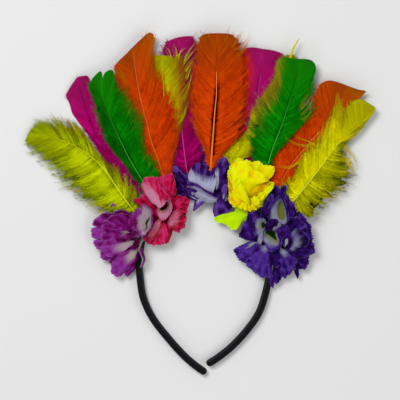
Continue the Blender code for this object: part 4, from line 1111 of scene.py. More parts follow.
# of each petal: part, pale share, folds, ruffle, belly, tone, root, rim and, where it has one, throat
ORCHID_PETALS = [
    # Painted shade: this first petal lies under all the others, and its darker tone stands for the shade
    # between them.
    ("outer", (0.0,), 3, 0.4, 1.0, (0.15,), (-54.1, -36.1, 9.5),
     (-64.0, -18.9, 10.0, -75.4, -22.1, 8.5, -82.8, -29.5, 7.5, -82.0, -40.2, 7.5, -78.7, -48.4, 7.0,
      -72.2, -55.8, 7.0, -62.3, -55.8, 7.5)),
    ("outer", (0.1,), 4, 0.9, 3.0, (0.15, 0.25, 0.2), (-56.6, -32.0, 13.0),
     (-57.8, -18.9, 15.0, -60.7, -16.0, 15.5, -64.8, -13.5, 15.5, -68.9, -12.8, 15.0, -73.0, -13.6, 14.0,
      -75.8, -16.4, 13.0)),
    ("outer", (0.1,), 3, 0.8, 3.0, (0.3, 0.25, 0.45), (-58.2, -33.6, 11.0),
     (-74.6, -17.2, 12.5, -77.9, -15.6, 12.0, -81.2, -15.3, 11.0, -84.5, -15.7, 10.5, -86.5, -18.4, 10.0,
      -87.7, -21.3, 10.0)),
    ("outer", (0.2,), 3, 0.7, 3.0, (0.35, 0.45, 0.6), (-59.0, -34.4, 11.0),
     (-82.8, -16.4, 10.0, -87.7, -18.9, 9.5, -91.8, -21.7, 8.5, -92.4, -25.0, 8.5, -89.4, -26.6, 8.5,
      -84.5, -27.1, 9.0)),
    ("outer", (0.15,), 3, 0.7, 3.0, (0.7, 0.9, 0.8), (-60.7, -36.1, 11.0),
     (-84.5, -26.2, 9.0, -89.4, -27.1, 9.0, -93.2, -28.7, 8.0, -93.6, -33.6, 8.0, -90.6, -36.5, 8.0,
      -84.5, -36.5, 9.0)),
    ("outer", (0.2,), 3, 0.7, 3.0, (0.85, 0.8, 0.65), (-60.7, -37.7, 11.0),
     (-84.5, -36.5, 9.0, -89.8, -37.7, 8.5, -91.8, -39.4, 8.0, -90.9, -42.6, 7.5, -88.1, -45.3, 7.5,
      -82.8, -45.9, 8.0)),
    ("outer", (0.15,), 3, 0.7, 3.0, (0.55, 0.75, 0.65), (-59.9, -40.2, 11.0),
     (-82.8, -45.1, 8.0, -86.1, -47.6, 7.5, -85.7, -52.1, 7.0, -82.4, -54.6, 7.0, -77.9, -54.9, 7.0,
      -73.8, -52.5, 8.0)),
    ("outer", (0.1,), 2, 0.6, 2.5, (0.5,), (-59.0, -42.6, 11.0),
     (-79.5, -53.3, 8.0, -79.1, -55.8, 7.0, -76.3, -58.6, 7.0, -71.3, -59.0, 8.0)),
    ("outer", (0.3, 0.2, 0.15), 3, 0.7, 3.0, (0.65, 0.8, 0.7), (-58.2, -44.3, 11.0),
     (-75.0, -57.4, 9.5, -77.2, -62.3, 8.5, -76.3, -65.8, 8.0, -73.0, -67.8, 8.0, -68.9, -67.4, 8.0,
      -66.8, -64.6, 8.5, -66.0, -59.9, 9.5)),
    ("outer", (0.1,), 3, 0.6, 2.0, (0.6, 0.45, 0.25), (-56.6, -45.9, 10.0),
     (-67.6, -60.7, 8.0, -66.8, -64.8, 7.0, -64.4, -67.6, 6.5, -61.9, -66.8, 6.5, -59.4, -62.3, 7.0,
      -57.6, -57.4, 7.0, -55.8, -50.8, 8.0)),
    ("outer", (0.0,), 1, 0.3, 1.0, (0.0,), (-55.8, -47.6, 8.0),
     (-61.5, -65.6, 5.0, -58.2, -63.1, 4.5, -55.3, -56.6, 5.0, -54.1, -50.0, 6.0)),
    ("outer", (0.35,), 1, 0.3, 0.5, (0.35, 0.45),
     (-55.8, -44.3, 12.0, -53.3, -49.2, 11.5, -51.5, -53.3, 11.0, -52.1, -56.6, 10.0, -53.3, -59.9, 9.0),
     (-53.3, -41.8, 14.0, -50.8, -46.7, 14.0, -49.2, -51.7, 13.5, -49.6, -56.2, 12.0, -52.8, -60.5, 9.5)),
    ("outer", (0.45,), 1, 0.2, 0.5, (0.7,), (-74.6, -13.1, 8.6),
     (-77.2, -10.2, 11.3, -76.9, -8.6, 11.7, -75.6, -7.8, 11.9, -73.9, -8.1, 11.9, -73.3, -9.8, 11.6)),
    ("front", (0.05,), 5, 1.1, 2.5, (0.3, 0.15, 0.3, 0.35, 0.5), (-56.6, -32.8, 16.0),
     (-56.6, -23.8, 20.0, -59.0, -18.9, 20.5, -63.1, -16.4, 20.0, -68.9, -16.0, 19.0, -74.6, -17.2, 17.0,
      -79.5, -19.7, 15.0, -83.6, -23.0, 13.0, -84.5, -26.6, 12.0)),
    ("front", (0.1,), 4, 1.1, 2.0, (0.25, 0.35, 0.4, 0.45), (-55.8, -33.6, 17.0),
     (-66.4, -23.0, 18.5, -72.2, -21.3, 17.5, -77.9, -21.7, 15.5, -82.8, -24.2, 13.5, -84.5, -27.9, 12.5,
      -82.8, -31.2, 13.0, -76.3, -32.0, 15.0)),
    ("front", (0.74, 0.5, 0.25, 0.1), 4, 0.9, 2.0, (0.5, 0.35, 0.6, 0.5), (-55.8, -34.4, 17.5),
     (-66.4, -28.7, 18.5, -73.8, -28.7, 16.5, -81.2, -30.3, 13.5, -85.3, -33.6, 12.0, -84.9, -37.7, 12.0,
      -80.4, -39.4, 13.0, -73.8, -38.1, 15.0), (0.14, 0.5)),
    ("front", (0.1, 0.25, 0.45, 0.66, 0.6, 0.35), 5, 0.9, 2.0, (0.4, 0.5, 0.75, 0.6, 0.55),
     (-55.8, -38.5, 17.0),
     (-67.2, -35.3, 17.5, -76.3, -36.1, 14.5, -82.8, -39.4, 12.5, -85.3, -44.3, 11.5, -82.4, -49.2, 11.0,
      -76.3, -51.7, 12.0, -69.7, -50.0, 14.0, -64.4, -45.9, 16.0), (0.06, 0.4)),
    ("front", (0.2, 0.25, 0.4, 0.55, 0.56, 0.45), 5, 0.9, 2.0, (0.5, 0.6, 0.75, 0.7, 0.5),
     (-54.9, -44.3, 16.0),
     (-62.3, -45.5, 17.0, -69.7, -49.2, 14.5, -74.6, -54.1, 12.0, -76.7, -59.0, 10.5, -73.8, -63.1, 10.0,
      -68.9, -64.0, 10.0, -64.0, -62.3, 11.0, -59.9, -57.4, 13.0, -56.2, -51.7, 15.0), (0.2, 0.5)),
    ("front", (0.15,), 2, 0.5, 1.2, (0.15,), (-60.7, -36.9, 20.0),
     (-63.5, -34.9, 20.5, -68.9, -34.9, 19.5, -73.4, -36.9, 17.5, -71.3, -38.8, 17.5, -66.0, -38.9, 19.0)),
    ("front", (0.2,), 2, 0.5, 1.2, (0.12, 0.2), (-53.3, -34.4, 22.0),
     (-57.4, -30.7, 22.0, -62.3, -31.3, 21.5, -65.4, -33.6, 20.5, -64.0, -35.8, 20.5, -58.2, -36.2, 22.0)),
    ("front", (0.1,), 2, 0.5, 1.2, (0.05, 0.15), (-51.7, -34.9, 22.0),
     (-57.0, -37.3, 21.0, -59.2, -41.4, 19.5, -59.0, -45.5, 18.5, -56.2, -45.1, 19.0, -54.1, -39.8, 21.0)),
    ("front", (1.3,), 1, 0.2, 0.5, (0.5,),
     (-50.4, -34.9, 20.0, -51.7, -34.4, 20.0),
     (-55.3, -45.5, 13.0, -53.9, -46.7, 12.0, -52.1, -41.8, 14.0, -50.4, -37.7, 17.0), (0.2, 1.2)),
    ("front", (0.5,), 3, 0.6, 1.5, (0.3, 0.35, 0.5), (-52.5, -24.6, 17.0),
     (-54.1, -30.7, 21.0, -59.0, -29.1, 21.0, -61.7, -23.8, 21.0, -61.1, -18.4, 21.5, -57.8, -14.3, 22.0,
      -53.7, -11.2, 23.0, -50.8, -9.8, 24.0)),
    ("cup", (0.85, 0.75, 0.6, 0.58, 0.6, 0.72, 0.95, 1.1, 0.85, 0.62, 0.66, 0.8), 6, 0.7, -0.6,
     (0.5, 0.4, 0.55),
     (-44.9, -19.5, 18.5, -47.1, -21.6, 18.5, -48.4, -23.8, 18.5, -47.6, -26.5, 18.5, -48.9, -30.3, 19.0,
      -47.0, -27.3, 18.5, -47.1, -24.1, 18.5, -44.5, -20.2, 18.5),
     (-50.0, -8.0, 24.5, -54.4, -12.1, 24.0, -58.0, -15.6, 23.0, -59.0, -20.5, 22.5, -58.2, -26.2, 22.5,
      -55.5, -31.0, 23.0, -51.8, -33.6, 23.5, -48.0, -31.8, 24.0, -44.3, -27.5, 25.0, -42.2, -20.9, 25.6,
      -42.8, -15.0, 25.8, -45.5, -10.5, 25.5), (1.0, 0.07)),
    ("front", (0.62,), 1, 0.3, 0.8, (0.95,), (-48.0, -31.2, 23.5),
     (-52.2, -29.8, 24.3, -53.6, -32.0, 24.0, -51.7, -34.3, 24.0, -48.4, -33.8, 24.3)),
]
ORCHID_CLOTH = petal_cloth("orchid_cloth", (0.055, 0.0, 0.025), (0.14, 0.002, 0.105), (0.20, 0.024, 0.225),
                           (0.30, 0.225, 0.255), (0.38, 0.13, 0.42), (0.012, 0.035, 0.003),
                           (0.24, 0.25, 0.15), veins=0.6)
build_flower("flower_1_orchid", ORCHID_PETALS, ORCHID_CLOTH, -55.8, -37.7, 13.0,
             "petal_orchid", "petal_pale_orchid")


# Red-pink carnation beside it, of the same pinked and crimped satin: red petals round a pink-white
# bowl that stands in front. Its calyx is glued to the left shoulder of the band.
RED_PINK_PETALS = [
    # Painted shade: this first petal lies under all the others, and its darker tone stands for the shade
    # between them.
    ("outer", (0.0,), 3, 0.4, 1.0, (0.35,), (-23.0, -15.6, 9.0),
     (-36.9, 4.9, 11.0, -44.3, -8.2, 10.0, -45.1, -23.0, 9.0, -40.2, -34.4, 9.0, -30.3, -36.1, 9.0)),
    ("outer", (0.25, 0.1, 0.0), 5, 1.0, 3.0, (0.75, 0.6, 0.35, 0.5), (-32.8, -9.8, 15.0),
     (-40.7, 8.2, 18.5, -40.5, 13.1, 18.5, -35.5, 14.4, 18.5, -30.6, 16.2, 18.5, -26.2, 16.2, 18.0,
      -24.6, 11.5, 17.5, -24.2, 6.6, 17.0, -23.0, 3.0, 16.5, -24.8, -0.8, 17.0, -27.9, -4.5, 18.0)),
    ("outer", (0.0,), 4, 0.8, 2.5, (0.4, 0.2, 0.35, 0.15), (-37.7, -19.7, 13.0),
     (-44.7, -12.3, 14.0, -50.0, -10.2, 14.0, -54.9, -8.2, 13.5, -59.0, -4.9, 13.5, -53.6, -2.3, 15.0,
      -48.6, -0.5, 16.0, -44.7, -2.5, 17.0, -41.0, -7.4, 17.0)),
    ("outer", (0.0,), 7, 1.0, 3.0, (0.35, 0.2, 0.45, 0.25), (-30.3, -14.8, 14.0),
     (-27.5, -8.2, 18.0, -26.6, -2.9, 17.5, -23.0, -1.1, 17.0, -16.8, -1.9, 16.0, -12.3, -4.9, 15.0,
      -12.9, -8.6, 14.5, -14.3, -13.1, 14.0, -15.3, -18.9, 13.5, -16.0, -23.0, 13.0)),
    ("outer", (0.2, 0.45, 0.55, 0.3), 5, 0.9, 3.0, (0.55, 0.7, 0.6), (-28.7, -16.4, 13.0),
     (-15.2, -17.2, 13.5, -15.6, -23.4, 13.0, -16.7, -27.2, 12.5, -19.7, -29.5, 12.0, -22.1, -31.7, 12.0,
      -26.2, -29.7, 12.0, -30.3, -27.9, 12.5)),
    ("outer", (0.0, 0.0, 0.1, 0.2, 0.5, 0.6), 8, 1.0, 3.0, (0.1, 0.25, 0.6, 0.5, 0.65, 0.4),
     (-34.4, -18.0, 12.0),
     (-25.8, -29.1, 12.0, -27.3, -32.4, 11.5, -28.3, -36.5, 11.0, -30.6, -40.1, 11.0, -34.9, -41.4, 11.0,
      -40.2, -42.1, 11.0, -45.5, -41.2, 11.0, -50.7, -37.1, 12.0, -48.4, -31.2, 13.0, -44.3, -26.2, 13.5)),
    ("front", (0.1, 0.45, 0.85, 0.95, 0.9), 2, 0.5, 1.0, (0.35, 0.1, 0.0), (-36.1, -20.5, 16.0),
     (-34.4, -27.1, 18.0, -38.1, -34.0, 16.0, -43.5, -37.7, 14.5, -47.3, -36.3, 14.0, -44.7, -29.5, 15.0,
      -41.0, -23.4, 17.0), (0.07, 0.9)),
    ("front", (0.05,), 3, 0.8, 1.8, (0.5, 0.7, 0.45), (-33.6, -22.1, 17.0),
     (-31.2, -26.2, 18.0, -30.0, -32.8, 16.0, -32.0, -38.4, 14.5, -36.1, -39.4, 14.3, -38.1, -35.7, 15.5,
      -36.2, -27.9, 18.0)),
    ("front", (0.0,), 2, 0.5, 1.0, (0.05,), (-30.7, -23.0, 16.0),
     (-27.5, -28.7, 15.0, -27.6, -34.4, 14.0, -29.8, -37.7, 14.0, -31.2, -32.0, 15.5)),
    ("front", (0.6, 0.7, 0.95, 0.55, 0.15, 0.3, 0.35), 6, 0.9, 1.6, (0.4, 0.6, 0.7, 0.5, 0.35, 0.2),
     (-40.2, -8.6, 25.5, -36.7, -11.3, 27.2, -32.4, -8.2, 28.0),
     (-45.9, -4.5, 21.5, -49.8, 0.6, 20.5, -51.7, 6.1, 20.5, -49.2, 12.9, 22.0, -42.0, 13.9, 23.5,
      -38.1, 9.7, 25.0, -34.0, 4.1, 26.3, -30.3, -1.9, 28.0)),
    ("front", (0.5,), 1, 0.4, 1.2, (0.85,), (-29.9, -5.7, 23.0),
     (-38.9, 9.0, 26.3, -36.1, 6.1, 27.2, -31.6, 1.6, 28.3, -28.7, -2.5, 28.6, -27.5, -5.7, 27.5)),
    ("front", (0.0,), 6, 0.9, 2.0, (0.3, 0.5, 0.2, 0.4), (-27.9, -10.7, 17.0),
     (-27.9, -5.3, 23.0, -24.6, -3.1, 22.0, -20.5, -4.1, 20.0, -16.8, -7.4, 18.0, -15.3, -12.3, 17.0,
      -18.0, -15.6, 17.0)),
    ("front", (0.8, 0.9, 0.8, 0.55, 0.35, 0.3, 0.25), 6, 0.9, 2.0, (-0.15, 0.05, 0.3, 0.4),
     (-30.7, -23.0, 16.0),
     (-28.3, -18.4, 20.0, -24.9, -13.1, 20.5, -21.3, -12.8, 19.5, -18.6, -16.9, 18.0, -16.6, -22.5, 16.0,
      -17.9, -26.9, 15.5, -22.3, -30.6, 15.0, -26.2, -29.2, 15.5, -30.1, -26.6, 16.5), (0.08, 0.75)),
    ("cup", (1.1, 1.0, 0.9, 0.8, 0.85, 0.9, 1.1, 1.2), 4, 0.6, -0.6, (0.65,),
     (-31.2, -6.4, 19.0, -34.4, -8.4, 19.0, -36.7, -12.0, 19.0, -35.3, -13.1, 19.0, -32.0, -11.6, 19.0,
      -30.3, -8.7, 19.0),
     (-29.1, -4.5, 26.0, -34.4, -7.0, 25.0, -38.5, -11.1, 23.0, -38.9, -17.2, 22.0, -35.7, -21.2, 22.0,
      -31.2, -20.1, 23.0, -27.7, -15.2, 25.0, -26.8, -9.0, 26.0), (1.0, 0.45)),
]
RED_PINK_CLOTH = petal_cloth("red_pink_cloth", (0.20, 0.0, 0.010), (0.39, 0.002, 0.040), (0.46, 0.022, 0.12),
                             (0.42, 0.155, 0.245), (0.52, 0.10, 0.19), (0.025, 0.006, 0.002),
                             (0.27, 0.13, 0.075), veins=1.5)
build_flower("flower_2_red_pink", RED_PINK_PETALS, RED_PINK_CLOTH, -34.4, -11.5, 13.0,
             "petal_red_pink", "petal_pale_pink")


# Violet flower over the crown, of the same satin. Its top petals carry the ends of two quills, and a
# white bowl with a violet rim stands in front of them.
VIOLET_PETALS = [
    ("outer", (0.15,), 5, 0.5, 1.2, (0.25, 0.35, 0.5, 0.8, 0.75), (-0.8, 9.8, 7.2),
     (-11.9, 21.3, 6.0, -11.1, 27.9, 4.8, -8.2, 32.4, 4.2, -4.1, 35.0, 4.0, 0.8, 35.4, 4.0, 5.5, 33.4, 4.2,
      6.6, 27.9, 4.8, 6.6, 21.3, 6.0)),
    ("outer", (0.2,), 6, 0.7, 1.2, (0.7, 0.5, 0.25, 0.35), (8.2, 3.3, 11.5),
     (9.4, 22.1, 11.5, 10.9, 27.5, 12.3, 15.3, 30.2, 12.6, 19.0, 27.6, 12.6, 19.4, 23.0, 12.4,
      19.4, 17.2, 12.0, 19.4, 10.7, 11.5, 19.7, 3.3, 11.0, 17.2, -2.5, 10.0)),
    ("outer", (0.04,), 6, 0.9, 2.5, (0.4, 0.3, 0.2, 0.15, 0.3), (-5.7, 1.6, 10.0),
     (-11.5, 15.6, 8.0, -17.2, 20.9, 6.0, -22.1, 24.0, 5.0, -27.1, 24.8, 4.8, -29.7, 23.0, 4.8,
      -30.0, 16.8, 5.5, -26.2, 14.6, 6.5, -24.4, 7.4, 7.5, -22.3, 0.8, 8.5, -19.7, -1.6, 9.0,
      -14.3, -2.0, 9.0)),
    ("outer", (0.1,), 4, 0.8, 2.5, (0.1, 0.25, 0.5, 0.75, 0.6), (9.8, 0.8, 12.5),
     (20.1, 4.1, 11.0, 20.9, -2.5, 10.0, 22.5, -10.7, 8.5, 19.3, -14.5, 8.0, 13.1, -17.0, 8.0,
      8.4, -18.7, 8.0, 6.4, -14.3, 8.5, 7.8, -9.0, 9.0, 8.6, -4.9, 10.0)),
    ("outer", (0.5,), 2, 0.5, 1.0, (0.85,), (-4.1, -0.8, 11.0),
     (-1.1, -3.7, 9.5, -0.8, -7.4, 8.5, -4.5, -10.7, 8.0, -9.5, -14.1, 7.8, -9.0, -8.2, 8.2,
      -8.0, -4.1, 9.0)),
    ("outer", (0.4,), 3, 0.8, 1.5, (0.25, 0.5), (-4.9, 2.5, 12.0),
     (-15.2, 5.7, 11.0, -16.4, 2.0, 10.0, -13.3, -2.5, 9.5, -8.6, -5.7, 9.5, -4.5, -5.3, 10.0)),
    ("outer", (2.0,), 1, 0.0, 0.0, (1.0,),
     (4.4, -7.4, 9.0, 5.7, -10.7, 6.0, 6.6, -13.9, 3.5),
     (4.8, -7.3, 9.0, 6.1, -10.6, 6.0, 7.0, -13.9, 3.5)),
    ("front", (1.1, 1.0, 0.5, 0.42, 0.45, 0.5, 0.55, 0.95), 5, 0.6, 4.0, (0.5, 0.6, 0.45, 0.4, 0.5),
     (-13.1, 10.2, 19.0, -7.4, 7.8, 20.0, -0.8, 4.1, 20.0, 6.6, 0.8, 19.0),
     (-13.9, 16.0, 16.0, -11.9, 20.3, 13.0, -9.4, 24.4, 10.5, -4.1, 25.3, 9.0, 0.8, 23.5, 8.6,
      5.3, 21.7, 9.2, 9.4, 21.7, 12.0, 11.1, 15.6, 15.0)),
    ("front", (1.0, 0.8, 0.2, 0.05, 0.1), 4, 1.0, 2.5, (0.6, 0.5, 0.25, 0.4), (9.4, 3.3, 17.0),
     (7.4, 14.8, 17.0, 9.4, 23.0, 15.0, 12.3, 27.1, 13.0, 15.6, 26.6, 12.2, 17.6, 21.3, 12.5,
      17.9, 13.1, 13.0, 16.2, 4.9, 14.0)),
    ("front", (0.2, 0.4, 0.5, 0.4, 0.2), 3, 0.7, 1.8, (0.4, 0.5, 0.4, 0.3),
     (-14.8, 5.3, 15.0, -9.0, 4.1, 16.8, -2.5, 1.2, 17.5, 4.1, -2.5, 17.0, 9.8, -4.9, 15.5),
     (-15.2, 11.1, 18.0, -11.5, 9.8, 20.5, -7.4, 8.5, 21.8, -3.3, 6.1, 22.3, 1.6, 2.8, 22.3, 6.6, 1.0, 21.3,
      11.1, 0.0, 19.5)),
    ("front", (1.2,), 5, 0.7, 2.0, (0.5,),
     (-11.5, 3.3, 14.5, -5.7, 2.9, 16.5, 0.8, 0.0, 16.8, 9.0, -4.1, 15.0),
     (-11.1, 0.0, 12.5, -6.6, -3.0, 12.0, -1.6, -6.3, 12.0, 3.3, -7.4, 12.0, 9.8, -6.3, 12.5), (0.12, 0.7)),
    ("front", (0.08,), 4, 0.9, 2.0, (0.55, 0.75, 0.85, 0.4, 0.2, 0.3), (-3.3, 4.1, 14.5),
     (-12.7, 9.8, 17.0, -15.6, 14.3, 16.0, -19.7, 18.4, 14.0, -23.4, 23.0, 12.0, -26.6, 20.9, 11.0,
      -24.2, 14.8, 12.0, -20.1, 8.2, 13.5, -14.8, 3.7, 14.5)),
    ("front", (0.0,), 2, 0.5, 1.2, (0.0, 0.1), (-12.3, 5.7, 15.0),
     (-17.2, 13.9, 17.0, -20.9, 18.9, 15.0, -23.0, 18.0, 14.0, -20.5, 11.5, 15.0, -16.4, 6.6, 15.5)),
    ("front", (0.25,), 2, 0.5, 1.0, (0.35,), (-6.1, 0.0, 15.0),
     (-16.0, 3.4, 15.5, -13.5, 5.2, 17.0, -9.4, 4.5, 17.5, -6.6, 2.5, 17.0)),
    ("front", (0.6,), 1, 0.3, 0.6, (0.5,), (-6.6, -4.9, 12.5),
     (-15.6, -0.2, 12.5, -12.3, -0.7, 13.5, -7.8, -3.0, 14.0)),
    ("front", (0.25,), 2, 0.5, 1.2, (0.85,), (14.8, -4.1, 14.0),
     (13.1, 2.9, 17.0, 15.0, 7.4, 17.5, 18.5, 8.2, 16.5, 18.7, 3.3, 15.0, 17.2, -1.6, 14.0)),
    ("front", (0.1,), 2, 0.5, 1.0, (0.15,), (6.6, -3.3, 11.0),
     (4.1, 1.6, 13.5, 5.7, 6.1, 15.0, 9.0, 7.4, 15.5, 12.3, 5.7, 15.0, 13.1, 0.0, 13.0)),
    ("front", (0.0,), 1, 0.3, 0.8, (0.1,), (14.8, 0.0, 13.0),
     (15.4, -5.7, 13.0, 18.5, -4.9, 12.5, 19.7, -1.6, 12.0), (0.5, 1.6)),
]
VIOLET_CLOTH = petal_cloth("violet_cloth", (0.010, 0.0, 0.038), (0.030, 0.003, 0.100), (0.085, 0.030, 0.22),
                           (0.30, 0.30, 0.42), (0.16, 0.09, 0.28), (0.02, 0.015, 0.015), (0.13, 0.12, 0.12))
build_flower("flower_3_violet", VIOLET_PETALS, VIOLET_CLOTH, 0.0, 3.3, 8.3,
             "petal_violet", "petal_pale_violet")


# Yellow rose to the right of the crown, of the same satin dyed all over; orange is painted into its folds as
# shade.
# Its calyx is glued to the band close by the violet flower's.
YELLOW_PETALS = [
    ("outer", (0.0,), 6, 0.8, 3.0, (0.6, 0.75, 0.7, 0.6, 0.45, 0.55), (33.6, -4.9, 13.0),
     (20.1, 13.9, 15.0, 19.9, 21.3, 16.5, 24.6, 27.6, 17.5, 28.3, 29.2, 18.0, 33.6, 28.0, 18.0,
      37.3, 26.4, 18.0, 42.1, 26.9, 18.0, 47.5, 24.6, 18.0, 51.1, 23.3, 18.0, 55.3, 22.7, 17.5,
      57.1, 20.3, 17.0, 55.8, 16.0, 17.0, 52.8, 12.7, 17.0, 49.2, 10.7, 17.5)),
    ("outer", (0.0,), 3, 0.6, 2.0, (0.3, 0.1, 0.25, 0.6), (32.0, -7.4, 13.0),
     (23.8, -9.8, 14.0, 19.8, -7.0, 14.5, 19.5, -1.2, 15.0, 18.9, 8.2, 16.5, 18.5, 17.6, 17.0,
      20.9, 22.1, 17.0)),
    ("outer", (0.0,), 5, 0.9, 3.0, (0.7, 0.6, 0.5), (36.9, -7.4, 13.0),
     (50.0, 11.1, 18.0, 56.7, 8.5, 17.5, 54.9, 4.1, 17.0, 53.3, 1.6, 16.5, 50.4, -2.0, 16.0,
      47.6, -7.4, 15.0, 43.9, -11.7, 14.5)),
    ("outer", (0.0,), 6, 0.8, 3.0, (0.6, 0.35, 0.3, 0.45), (33.6, -4.9, 13.0),
     (48.8, -7.4, 15.0, 42.6, -12.7, 14.3, 35.5, -14.8, 14.0, 28.7, -11.9, 14.0, 23.8, -10.7, 14.5,
      19.9, -7.0, 15.0)),
    ("front", (0.0,), 3, 0.7, 3.0, (0.55, 0.7, 0.65, 0.45, 0.5, 0.4),
     (25.4, -5.7, 18.5, 29.5, -6.6, 18.5, 33.6, -3.7, 19.0, 37.3, 2.9, 20.3, 43.0, 8.0, 22.4),
     (20.9, 12.3, 22.0, 21.7, 20.5, 23.0, 25.9, 26.2, 23.5, 30.3, 26.6, 24.0, 34.9, 25.0, 24.5,
      39.7, 20.0, 25.0, 43.9, 17.6, 25.0, 47.6, 14.8, 25.0, 52.1, 10.4, 24.5)),
    ("front", (0.0,), 3, 0.7, 0.6, (0.55, 0.45, 0.25, 0.15), (35.3, -5.7, 17.5),
     (34.0, 3.3, 20.5, 38.5, 7.0, 21.3, 43.5, 9.4, 22.0, 48.4, 10.7, 22.6, 52.6, 10.3, 22.6, 51.2, 6.1, 21.5,
      47.1, 2.0, 20.5), (0.2, 1.3)),
    ("front", (0.0,), 5, 0.8, 1.2, (0.5, 0.7, 0.85, 0.75), (40.2, -9.0, 18.0),
     (44.7, -2.9, 21.0, 46.6, 1.6, 22.5, 48.8, 4.9, 23.4, 52.5, 6.9, 23.7, 56.4, 8.5, 23.4, 54.0, 2.9, 22.0,
      50.4, -1.6, 20.8, 46.7, -6.1, 19.5), (0.3, 0.35)),
    ("front", (0.0,), 2, 0.5, 2.0, (0.3, 0.65, 0.9, 0.5), (34.4, -9.0, 18.0),
     (21.3, -7.8, 19.0, 20.3, -3.3, 20.0, 23.0, 4.9, 23.0, 27.7, 11.8, 25.7, 29.9, 6.6, 26.3,
      33.6, 0.0, 26.0)),
    ("front", (0.0,), 6, 0.9, 2.5, (0.65, 0.3, 0.5, 0.3), (33.6, -2.5, 19.0),
     (48.8, -7.4, 19.5, 43.5, -11.7, 19.0, 36.9, -13.9, 18.5, 31.2, -12.5, 18.5, 25.4, -10.2, 19.0,
      21.3, -7.8, 19.5), (0.2, 0.5)),
    ("front", (0.0,), 2, 0.4, 1.8, (0.5, 0.75, 0.55), (36.1, -9.8, 21.0),
     (25.0, -1.6, 24.0, 26.2, 4.1, 26.5, 28.7, 7.8, 28.0, 31.6, 4.9, 28.5, 33.6, 0.0, 28.3,
      35.7, -4.9, 27.5)),
    ("front", (0.0,), 2, 0.4, 1.0, (0.7,), (40.2, -9.8, 22.0),
     (36.9, -4.5, 27.0, 39.8, -1.8, 27.5, 43.5, -3.5, 26.7, 44.3, -7.8, 25.0)),
    ("front", (0.0,), 2, 0.4, 1.0, (0.6,), (41.8, -7.4, 21.0),
     (42.2, -1.6, 25.5, 45.1, 1.4, 25.5, 48.8, 0.8, 24.5, 47.1, -4.5, 23.0), (0.25, 0.6)),
]
# Painted shade: the deep colour and the tinge are orange, for the shade in the folds.
YELLOW_CLOTH = petal_cloth("yellow_cloth", (0.52, 0.26, 0.0), (0.66, 0.56, 0.0), (0.62, 0.68, 0.0),
                           (0.60, 0.66, 0.0), (0.76, 0.78, 0.02), (0.40, 0.12, 0.0), (0.52, 0.20, 0.0),
                           veins=0.35)
build_flower("flower_4_yellow", YELLOW_PETALS, YELLOW_CLOTH, 32.0, -5.7, 13.0,
             "petal_yellow", "petal_yellow")


